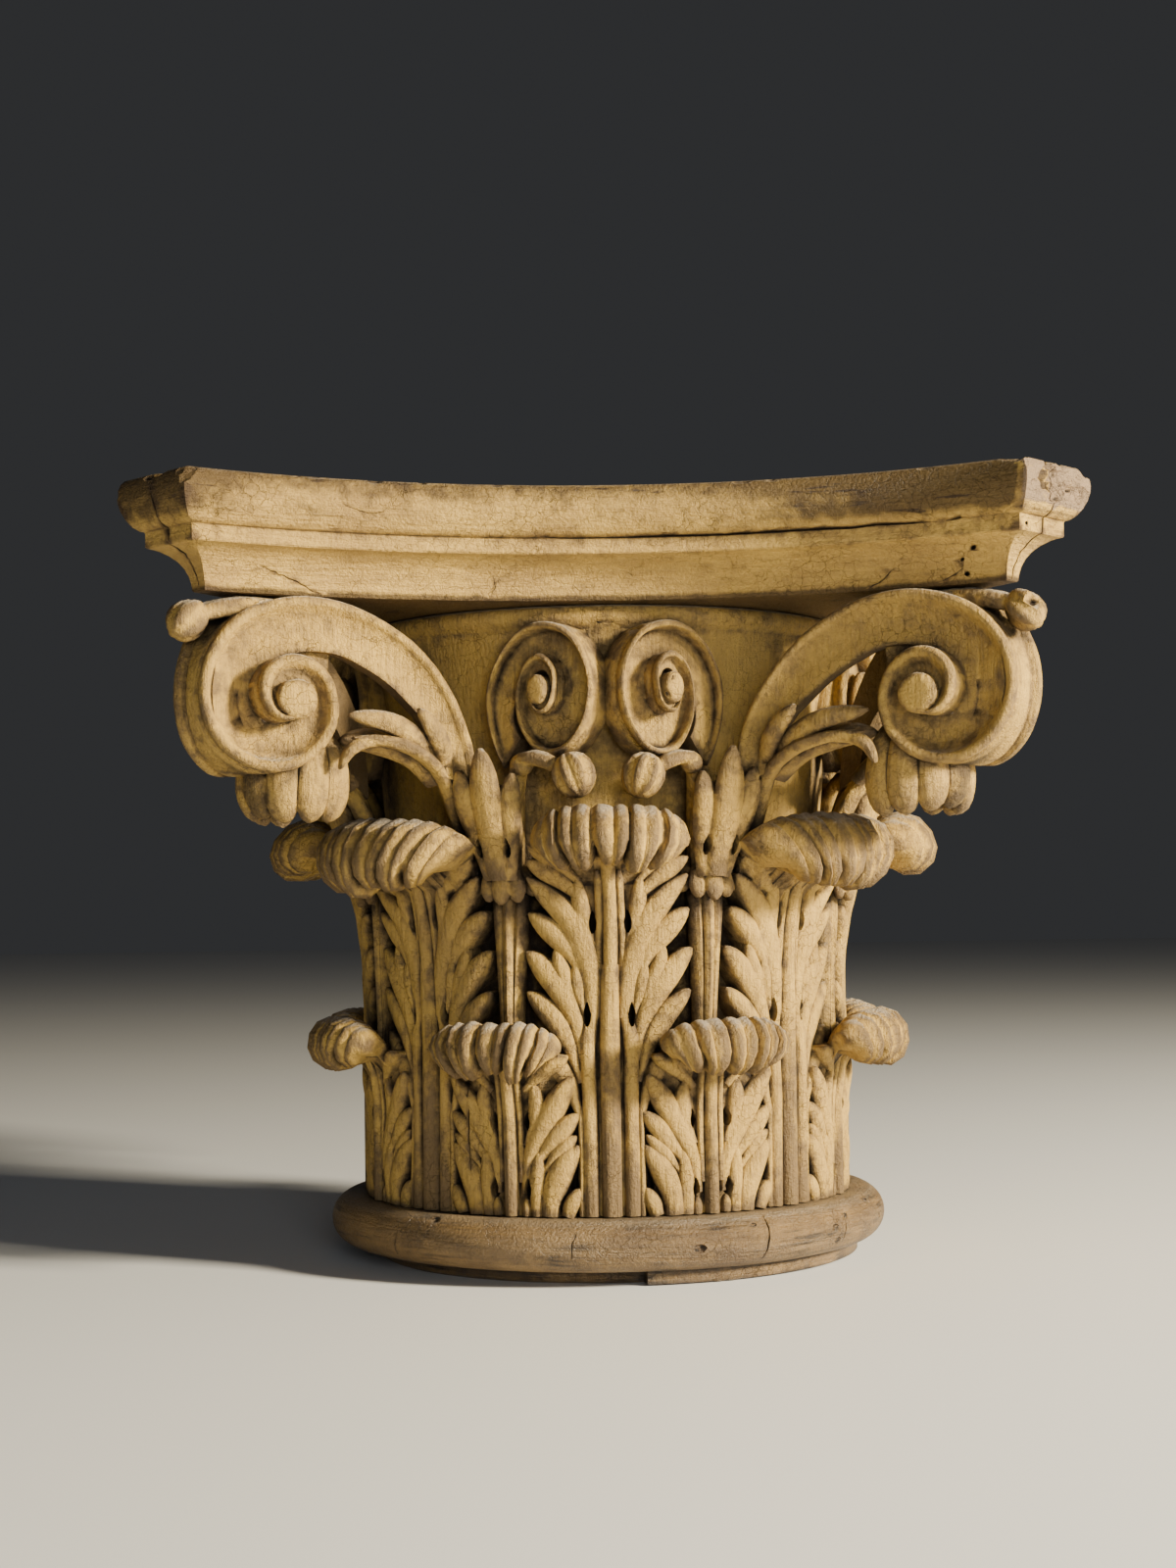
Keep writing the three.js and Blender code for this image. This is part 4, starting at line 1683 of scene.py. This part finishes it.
@dataclass(frozen=True)
class Lamp:
    """One soft square light, with its place, aim and size in metres and its power in watts."""

    name: str
    spot: Point
    aim: Point
    size: float
    power: float
    colour: Colour

    def hang(self) -> None:
        """Hang the light so that it faces its aim."""
        data = bpy.data.lights.new(self.name, "AREA")
        data.shape = "SQUARE"
        data.size = self.size
        data.energy = self.power
        data.color = self.colour
        light = bpy.data.objects.new(self.name, data)
        bpy.context.scene.collection.objects.link(light)
        way = Vector(self.aim) - Vector(self.spot)
        turn = way.to_track_quat("-Z", "Y").to_matrix().to_4x4()
        light.matrix_world = Matrix.Translation(self.spot) @ turn


KEY_LAMP = Lamp("key", (1.22, -0.70, 0.56), (0, 0, 0.12), 0.22, 90.0, (1.0, 0.885, 0.66))
FRONT_LAMP = Lamp("front", (0.2, -1.5, 0.24), (0, 0, 0.12), 0.5, 7.5, (0.90, 0.95, 1.0))


@dataclass
class Studio:
    """Pale floor, soft light and the camera of the portrait."""

    focal: float = 2300.0
    frame_height: float = 1600.0
    sensor: float = 36.0
    camera: Point = (-12.49, -704.71, 103.74)
    pitch: float = 0.0562
    roll: float = -0.014
    yaw: float = 0.0115
    sky: Colour = (0.92, 0.95, 1.0)
    sky_strength: float = 0.035
    floor_colour: Colour = (0.76, 0.765, 0.77)

    def camera_object(self) -> None:
        """Place the camera at the photographed viewing angle."""
        data = bpy.data.cameras.new("portrait")
        data.sensor_fit = "VERTICAL"
        data.sensor_height = self.sensor
        data.lens = self.sensor * self.focal / self.frame_height
        data.clip_start = 0.01
        data.clip_end = 50.0
        cam = bpy.data.objects.new("portrait", data)
        bpy.context.scene.collection.objects.link(cam)
        c, s = math.cos(self.yaw), math.sin(self.yaw)
        ahead = Vector((math.cos(self.pitch) * s, math.cos(self.pitch) * c, math.sin(self.pitch)))
        right = Vector((c, -s, 0.0))
        up = right.cross(ahead)
        cr, sr = math.cos(self.roll), math.sin(self.roll)
        x_axis = right * cr + up * sr
        y_axis = up * cr - right * sr
        turn = Matrix((x_axis, y_axis, -ahead)).transposed().to_4x4()
        cam.matrix_world = Matrix.Translation(Vector(self.camera) * MM) @ turn
        bpy.context.scene.camera = cam

    def floor(self) -> None:
        """Lay the pale floor."""
        deselect()
        bpy.ops.mesh.primitive_plane_add(size=12.0, location=(0, 0, 0))
        floor = bpy.context.object
        floor.name = "floor"
        material = bpy.data.materials.new("pale_floor")
        material.use_nodes = True
        shader = material.node_tree.nodes["Principled BSDF"]
        shader.inputs["Base Color"].default_value = (*self.floor_colour, 1)
        shader.inputs["Roughness"].default_value = 0.55
        floor.data.materials.append(material)

    def build(self) -> None:
        """Set up camera, floor and light."""
        self.camera_object()
        self.floor()
        world = bpy.data.worlds.new("studio")
        bpy.context.scene.world = world
        world.use_nodes = True
        background = world.node_tree.nodes["Background"]
        background.inputs["Color"].default_value = (*self.sky, 1)
        background.inputs["Strength"].default_value = self.sky_strength
        KEY_LAMP.hang()
        FRONT_LAMP.hang()


def surface_marks(
    body: bpy.types.Object, reach: float, rays: int, stain_and_shade: Callable[[Vector], float] | None = None
) -> None:
    """Write how edged, how deep (occlusion and creases, painted later as grime and shade) and how open to
    dust each point of a body is.

    Args:
        body: The finished body.
        reach: How far away a neighbour still shades a point, in millimetres.
        rays: Directions looked into from each point.
        stain_and_shade: Gives the stains and painted shade of a place, if the piece has any.
    """
    mesh = body.data
    count = len(mesh.vertices)
    co = np.empty(count * 3)
    mesh.vertices.foreach_get("co", co)
    co = co.reshape(-1, 3)
    normal = np.empty(count * 3)
    mesh.vertex_normals.foreach_get("vector", normal)
    normal = normal.reshape(-1, 3)
    pairs = np.empty(len(mesh.edges) * 2, dtype=np.int64)
    mesh.edges.foreach_get("vertices", pairs)
    pairs = pairs.reshape(-1, 2)
    ends = np.concatenate([pairs, pairs[:, ::-1]])
    step = co[ends[:, 1]] - co[ends[:, 0]]
    size = np.maximum(np.linalg.norm(step, axis=1), 1e-9)
    tally = np.maximum(np.bincount(ends[:, 0], minlength=count), 1)

    def spread(values: np.ndarray, times: int) -> np.ndarray:
        """Average values with their neighbours.

        Args:
            values: One value for each vertex.
            times: How often they are averaged.

        Returns:
            The smoothed values.
        """
        for _ in range(times):
            near = np.bincount(ends[:, 0], weights=values[ends[:, 1]], minlength=count) / tally
            values = 0.5 * values + 0.5 * near
        return values

    fall = -np.einsum("ij,ij->i", normal[ends[:, 0]], step) / size
    bend = spread(np.bincount(ends[:, 0], weights=fall, minlength=count) / tally, 1)
    edge = np.clip(bend * 2.6, 0, 1)
    # Concave creases, later painted dark as grime and as the shade that falls in grooves.
    crease_grime_and_shade = np.clip(-bend * 3.4 - 0.12, 0, 0.9)
    tree = BVHTree.FromPolygons([tuple(c) for c in co], [tuple(f.vertices) for f in mesh.polygons])
    rng = random.Random(3)
    ways = []
    while len(ways) < rays:
        way = Vector((rng.uniform(-1, 1), rng.uniform(-1, 1), rng.uniform(-1, 1)))
        if 0.1 < way.length < 1:
            ways.append(way.normalized())
    shade = np.zeros(count)
    far = reach * MM
    for i in range(count):
        n = Vector(normal[i])
        start = Vector(co[i]) + n * 0.0003
        total = 0.0
        for way in ways:
            hit = tree.ray_cast(start, (n + way * 0.95).normalized(), far)
            if hit[0] is not None:
                total += 1.0 - 0.6 * hit[3] / far
        shade[i] = total / rays
    shade = spread(shade, 1)
    dust = np.clip((normal[:, 2] - 0.5) / 0.45, 0, 1) * (1 - np.clip(shade * 1.4, 0, 1))
    stain_and_shade_mark = np.array([stain_and_shade(Vector(c) / MM) for c in co]) if stain_and_shade else np.zeros(count)
    # The deep mark joins occlusion and creases; the paint darkens it as grime and as painted shade.
    deep = np.clip(np.maximum(shade, crease_grime_and_shade), 0, 1)
    for name, values in (("edge", edge), ("deep", deep), ("dust", dust), ("stain_and_shade_mark", stain_and_shade_mark)):
        layer = mesh.attributes.new(name, "FLOAT", "POINT")
        layer.data.foreach_set("value", values.astype(np.float32))


@dataclass(frozen=True)
class Finish:
    """Colours and amounts of one painted surface."""

    name: str
    cream: Colour
    ochre: Colour
    # The next two colours serve wear and grime and also paint the shade in recesses and creases.
    wear_and_shade: Colour
    grime_and_shade: Colour
    dust: Colour
    rub_amount: float
    grime_and_shade_amount: float
    dust_amount: float
    grain: Point
    scratch: float
    crackle: float
    roughness: float
    gloss: float
    patches: float
    bare: Colour = (0.23, 0.158, 0.098)


OLD_CREAM = Finish(
    name="carved_bell_paint",
    cream=(0.55, 0.352, 0.084),
    ochre=(0.26, 0.166, 0.058),
    wear_and_shade=(0.135, 0.089, 0.046),
    grime_and_shade=(0.020, 0.012, 0.006),
    dust=(0.42, 0.365, 0.295),
    rub_amount=0.9,
    grime_and_shade_amount=1.0,
    dust_amount=0.8,
    grain=(1.0, 1.0, 0.10),
    scratch=0.5,
    crackle=0.5,
    roughness=0.56,
    gloss=0.22,
    patches=0.5,
)
BOARD_CREAM = Finish(
    name="abacus_paint",
    cream=(0.57, 0.370, 0.092),
    ochre=(0.27, 0.168, 0.058),
    wear_and_shade=(0.105, 0.063, 0.031),
    grime_and_shade=(0.020, 0.012, 0.006),
    dust=(0.28, 0.235, 0.175),
    rub_amount=0.9,
    grime_and_shade_amount=1.0,
    dust_amount=0.35,
    grain=(0.10, 0.10, 1.0),
    scratch=0.4,
    crackle=0.5,
    roughness=0.52,
    gloss=0.25,
    patches=0.6,
)
RING_BROWN = Finish(
    name="base_ring_paint",
    cream=(0.26, 0.162, 0.060),
    ochre=(0.090, 0.053, 0.023),
    wear_and_shade=(0.055, 0.033, 0.017),
    grime_and_shade=(0.014, 0.008, 0.004),
    dust=(0.24, 0.20, 0.15),
    rub_amount=0.8,
    grime_and_shade_amount=1.0,
    dust_amount=0.4,
    grain=(0.06, 0.06, 1.0),
    scratch=1.0,
    crackle=0.6,
    roughness=0.38,
    gloss=0.5,
    patches=0.8,
)


class PaintShop:
    """Makes the shared paint effects once and dresses the pieces with them."""

    def __init__(self) -> None:
        """Make the shared node groups."""
        self.crackle = self.crackle_group()
        self.cloud = self.cloud_group()
        self.mask = self.mask_group()

    def new_group(
        self, name: str, takes: tuple[str, ...], gives: str
    ) -> tuple[bpy.types.NodeTree, bpy.types.Node, bpy.types.Node]:
        """Start a node group.

        Args:
            name: Name of the group.
            takes: Names of its inputs, of which "Vector" is a vector.
            gives: Name of its output.

        Returns:
            The group with its input and output nodes.
        """
        group = bpy.data.node_groups.new(name, "ShaderNodeTree")
        for label in takes:
            kind = "NodeSocketVector" if label == "Vector" else "NodeSocketFloat"
            group.interface.new_socket(label, in_out="INPUT", socket_type=kind)
        group.interface.new_socket(gives, in_out="OUTPUT", socket_type="NodeSocketFloat")
        return group, group.nodes.new("NodeGroupInput"), group.nodes.new("NodeGroupOutput")

    def crackle_group(self) -> bpy.types.NodeTree:
        """Make the fine net of cracks in old paint.

        Returns:
            The group.
        """
        group, into, out = self.new_group("crackle", ("Vector", "Scale", "Width"), "Mask")
        wander = group.nodes.new("ShaderNodeTexNoise")
        wander.inputs["Scale"].default_value = 0.35
        wander.inputs["Detail"].default_value = 3.0
        push = group.nodes.new("ShaderNodeVectorMath")
        push.operation = "MULTIPLY_ADD"
        push.inputs[1].default_value = (3.0, 3.0, 3.0)
        cells = group.nodes.new("ShaderNodeTexVoronoi")
        cells.feature = "DISTANCE_TO_EDGE"
        near = group.nodes.new("ShaderNodeMapRange")
        near.inputs["From Min"].default_value = 0.0
        near.inputs["To Min"].default_value = 1.0
        near.inputs["To Max"].default_value = 0.0
        patch = group.nodes.new("ShaderNodeTexNoise")
        patch.inputs["Scale"].default_value = 0.06
        patch.inputs["Detail"].default_value = 2.0
        some = group.nodes.new("ShaderNodeMapRange")
        some.inputs["From Min"].default_value = 0.42
        some.inputs["From Max"].default_value = 0.62
        both = group.nodes.new("ShaderNodeMath")
        both.operation = "MULTIPLY"
        link = group.links.new
        link(into.outputs["Vector"], wander.inputs["Vector"])
        link(wander.outputs["Color"], push.inputs[0])
        link(into.outputs["Vector"], push.inputs[2])
        link(push.outputs["Vector"], cells.inputs["Vector"])
        link(into.outputs["Scale"], cells.inputs["Scale"])
        link(cells.outputs["Distance"], near.inputs["Value"])
        link(into.outputs["Width"], near.inputs["From Max"])
        link(into.outputs["Vector"], patch.inputs["Vector"])
        link(patch.outputs["Fac"], some.inputs["Value"])
        link(near.outputs["Result"], both.inputs[0])
        link(some.outputs["Result"], both.inputs[1])
        link(both.outputs["Value"], out.inputs["Mask"])
        return group

    def cloud_group(self) -> bpy.types.NodeTree:
        """Make soft mottling with a chosen size and contrast.

        Returns:
            The group.
        """
        group, into, out = self.new_group("mottling", ("Vector", "Scale", "Low", "High"), "Value")
        cloud = group.nodes.new("ShaderNodeTexNoise")
        cloud.inputs["Detail"].default_value = 6.0
        cloud.inputs["Roughness"].default_value = 0.62
        ramp = group.nodes.new("ShaderNodeMapRange")
        link = group.links.new
        link(into.outputs["Vector"], cloud.inputs["Vector"])
        link(into.outputs["Scale"], cloud.inputs["Scale"])
        link(cloud.outputs["Fac"], ramp.inputs["Value"])
        link(into.outputs["Low"], ramp.inputs["From Min"])
        link(into.outputs["High"], ramp.inputs["From Max"])
        link(ramp.outputs["Result"], out.inputs["Value"])
        return group

    def mask_group(self) -> bpy.types.NodeTree:
        """Make a mask out of a surface mark, broken up by mottling.

        Returns:
            The group.
        """
        group, into, out = self.new_group("broken_mask", ("Mark", "Break", "Low", "High", "Amount"), "Mask")
        shift = group.nodes.new("ShaderNodeMath")
        shift.operation = "MULTIPLY_ADD"
        shift.inputs[1].default_value = 0.35
        ramp = group.nodes.new("ShaderNodeMapRange")
        ramp.interpolation_type = "SMOOTHSTEP"
        much = group.nodes.new("ShaderNodeMath")
        much.operation = "MULTIPLY"
        centre = group.nodes.new("ShaderNodeMath")
        centre.operation = "SUBTRACT"
        centre.inputs[1].default_value = 0.5
        link = group.links.new
        link(into.outputs["Break"], centre.inputs[0])
        link(centre.outputs["Value"], shift.inputs[0])
        link(into.outputs["Mark"], shift.inputs[2])
        link(shift.outputs["Value"], ramp.inputs["Value"])
        link(into.outputs["Low"], ramp.inputs["From Min"])
        link(into.outputs["High"], ramp.inputs["From Max"])
        link(ramp.outputs["Result"], much.inputs[0])
        link(into.outputs["Amount"], much.inputs[1])
        link(much.outputs["Value"], out.inputs["Mask"])
        return group

    def use(
        self, tree: bpy.types.NodeTree, group: bpy.types.NodeTree, vector: Socket | None, **values: float
    ) -> bpy.types.Node:
        """Add a group node to a material and set its values.

        Args:
            tree: The material's nodes.
            group: The group to add.
            vector: Coordinates that it works in, if it takes any.
            values: Values of its other inputs.

        Returns:
            The new node.
        """
        node = tree.nodes.new("ShaderNodeGroup")
        node.node_tree = group
        if vector is not None:
            tree.links.new(vector, node.inputs["Vector"])
        for label, value in values.items():
            node.inputs[label.capitalize()].default_value = value
        return node

    def blend(
        self, tree: bpy.types.NodeTree, low: Socket | Colour, high: Socket | Colour, mask: Socket
    ) -> Socket:
        """Blend two colours by a mask.

        Args:
            tree: The material's nodes.
            low: Colour where the mask is black.
            high: Colour where the mask is white.
            mask: The mask.

        Returns:
            The blended colour.
        """
        mix = tree.nodes.new("ShaderNodeMix")
        mix.data_type = "RGBA"
        tree.links.new(mask, mix.inputs["Factor"])
        for value, socket in ((low, mix.inputs[6]), (high, mix.inputs[7])):
            if isinstance(value, tuple):
                socket.default_value = (*value, 1.0)
            else:
                tree.links.new(value, socket)
        return mix.outputs[2]

    def maths(self, tree: bpy.types.NodeTree, operation: str, *values: Socket | float) -> Socket:
        """Work values out with one sum.

        Args:
            tree: The material's nodes.
            operation: What is done with the values.
            values: Sockets or numbers in order.

        Returns:
            The result.
        """
        node = tree.nodes.new("ShaderNodeMath")
        node.operation = operation
        for value, socket in zip(values, node.inputs):
            if isinstance(value, float):
                socket.default_value = value
            else:
                tree.links.new(value, socket)
        return node.outputs["Value"]

    def clouds(
        self, tree: bpy.types.NodeTree, vector: Socket, scale: float, low: float, high: float
    ) -> Socket:
        """Add mottling to a material.

        Args:
            tree: The material's nodes.
            vector: Coordinates that it works in.
            scale: Size of the mottling, finer as it grows.
            low: Value of the noise that comes out black.
            high: Value of the noise that comes out white.

        Returns:
            The mottling from 0 to 1.
        """
        return self.use(tree, self.cloud, vector, scale=scale, low=low, high=high).outputs["Value"]

    def mark(self, tree: bpy.types.NodeTree, name: str) -> Socket:
        """Read one surface mark of the mesh.

        Args:
            tree: The material's nodes.
            name: Name of the mark.

        Returns:
            Its value.
        """
        node = tree.nodes.new("ShaderNodeAttribute")
        node.attribute_name = name
        return node.outputs["Fac"]

    def broken(
        self, tree: bpy.types.NodeTree, mark: Socket, breaks: Socket, low: float, high: float, amount: float
    ) -> Socket:
        """Make a mask out of a mark.

        Args:
            tree: The material's nodes.
            mark: The surface mark.
            breaks: Mottling that breaks the mask up.
            low: Mark at which the mask starts.
            high: Mark at which the mask is full.
            amount: Most that the mask reaches.

        Returns:
            The mask.
        """
        node = self.use(tree, self.mask, None, low=low, high=high, amount=amount)
        tree.links.new(mark, node.inputs["Mark"])
        tree.links.new(breaks, node.inputs["Break"])
        return node.outputs["Mask"]

    def coordinates(self, tree: bpy.types.NodeTree, grain: Point) -> tuple[Socket, Socket]:
        """Give the coordinates that a paint works in.

        Args:
            tree: The material's nodes.
            grain: How close the grain lies along each axis.

        Returns:
            Millimetres on the piece, and the same drawn out along the grain.
        """
        place = tree.nodes.new("ShaderNodeTexCoord")
        scale = tree.nodes.new("ShaderNodeVectorMath")
        scale.operation = "SCALE"
        scale.inputs["Scale"].default_value = 1 / MM
        tree.links.new(place.outputs["Object"], scale.inputs[0])
        streak = tree.nodes.new("ShaderNodeVectorMath")
        streak.operation = "MULTIPLY"
        streak.inputs[1].default_value = grain
        tree.links.new(scale.outputs["Vector"], streak.inputs[0])
        return scale.outputs["Vector"], streak.outputs["Vector"]

    def dress(self, body: bpy.types.Object, finish: Finish) -> None:
        """Paint a body with a finish.

        Args:
            body: The body.
            finish: Its finish.
        """
        material = bpy.data.materials.new(finish.name)
        material.use_nodes = True
        tree = material.node_tree
        shader = tree.nodes["Principled BSDF"]
        spot, streak = self.coordinates(tree, finish.grain)
        middle = self.clouds(tree, spot, 0.22, 0.34, 0.68)
        small = self.clouds(tree, spot, 1.1, 0.3, 0.72)
        grain = self.clouds(tree, streak, 0.9, 0.36, 0.7)
        cracks = self.use(tree, self.crackle, spot, scale=0.34, width=0.03).outputs["Mask"]

        # Paint, with specks, worn rims, and grime with painted shade in the recesses
        wide = self.clouds(tree, spot, 0.035, 0.36, 0.66)
        grained = self.maths(tree, "MULTIPLY", grain, 0.32)
        tone = self.maths(tree, "MULTIPLY_ADD", wide, finish.patches, grained)
        colour = self.blend(tree, finish.cream, finish.ochre, tone)
        speck = self.clouds(tree, spot, 1.9, 0.56, 0.74)
        colour = self.blend(tree, colour, finish.wear_and_shade, self.maths(tree, "MULTIPLY", speck, 0.55))
        # Painted shade: recesses and creases darken towards the wear-and-shade brown, partly as grime, partly
        # as shade.
        deep = self.mark(tree, "deep")
        colour = self.blend(tree, colour, finish.wear_and_shade, self.broken(tree, deep, middle, 0.02, 0.44, 0.75))
        rubbed = self.broken(tree, self.mark(tree, "edge"), middle, 0.2, 0.7, finish.rub_amount)
        colour = self.blend(tree, colour, finish.wear_and_shade, rubbed)

        # Scratches, stains, painted shade behind the volutes and under the board, and bare wood
        low, high = 0.62 - 0.12 * finish.scratch, 0.72 - 0.1 * finish.scratch
        scratch = self.clouds(tree, streak, 0.7, low, high)
        worn = self.maths(tree, "MULTIPLY", scratch, self.clouds(tree, spot, 0.05, 0.44, 0.6))
        # This mark carries real stains, bare wood below zero, and painted shade behind the corner volutes and
        # under the board.
        stain_and_shade_mark = self.mark(tree, "stain_and_shade_mark")
        stain_and_shade = self.broken(tree, stain_and_shade_mark, middle, 0.1, 0.8, 0.85)
        marked = self.maths(tree, "MULTIPLY_ADD", worn, finish.scratch, stain_and_shade)
        marked.node.use_clamp = True
        colour = self.blend(tree, colour, tuple(0.45 * c for c in finish.wear_and_shade), marked)
        bare = self.broken(tree, self.maths(tree, "MULTIPLY", stain_and_shade_mark, -1.0), middle, 0.3, 0.8, 1.0)
        colour = self.blend(tree, colour, finish.bare, bare)

        # Dust, then grime with painted shade in the darkest recesses, then cracks on top
        dust = self.broken(tree, self.mark(tree, "dust"), small, 0.25, 0.95, finish.dust_amount)
        colour = self.blend(tree, colour, finish.dust, dust)
        # Painted shade: the darkest recesses and creases go near black, as grime and as the shade that falls
        # there.
        grime_and_shade = self.broken(tree, deep, middle, 0.26, 0.78, finish.grime_and_shade_amount)
        colour = self.blend(tree, colour, finish.grime_and_shade, grime_and_shade)
        colour = self.blend(tree, colour, finish.grime_and_shade, self.maths(tree, "MULTIPLY", cracks, finish.crackle))
        tree.links.new(colour, shader.inputs["Base Color"])

        # Gloss and relief
        shader.inputs["Specular IOR Level"].default_value = finish.gloss
        rough = tree.nodes.new("ShaderNodeMapRange")
        rough.inputs["To Min"].default_value = finish.roughness - 0.12
        rough.inputs["To Max"].default_value = finish.roughness + 0.2
        tree.links.new(small, rough.inputs["Value"])
        tree.links.new(rough.outputs["Result"], shader.inputs["Roughness"])
        chisel = self.maths(tree, "ADD", small, grain)
        bump = tree.nodes.new("ShaderNodeBump")
        bump.inputs["Strength"].default_value = 0.75
        bump.inputs["Distance"].default_value = 0.0005
        tree.links.new(self.maths(tree, "MULTIPLY_ADD", cracks, -1.2, chisel), bump.inputs["Height"])
        tree.links.new(bump.outputs["Normal"], shader.inputs["Normal"])
        body.data.materials.clear()
        body.data.materials.append(material)


def finish_piece(body: bpy.types.Object, node: str, crease: float) -> None:
    """Smooth a finished piece, seat it in the frame and report it.

    Args:
        body: The finished piece.
        node: CAD node that it stands for.
        crease: Angle in degrees above which an edge stays sharp.
    """
    make_active(body)
    bpy.ops.object.shade_smooth_by_angle(angle=math.radians(crease))
    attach(body, "root")
    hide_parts(node)
    body.data.calc_loop_triangles()
    LOG.info("%s: %d triangles", body.name, len(body.data.loop_triangles))


def main() -> None:
    """Build the capital piece by piece and set up its portrait."""
    logging.basicConfig(level=logging.INFO, format="%(name)s: %(message)s")
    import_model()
    deselect()
    Studio().build()
    shop = PaintShop()
    ring = BaseRing().build()
    surface_marks(ring, 14.0, 10)
    shop.dress(ring, RING_BROWN)
    finish_piece(ring, "base_ring", 50.0)
    maker = Abacus()
    board = maker.build()
    surface_marks(board, 10.0, 10, maker.stain_and_shade)
    shop.dress(board, BOARD_CREAM)
    finish_piece(board, "abacus", 32.0)
    carver = CarvedBell()
    bell = carver.build()
    surface_marks(bell, 13.0, 14, carver.stain_and_shade)
    shop.dress(bell, OLD_CREAM)
    finish_piece(bell, "carved_bell", 55.0)


if __name__ == "__main__":
    main()
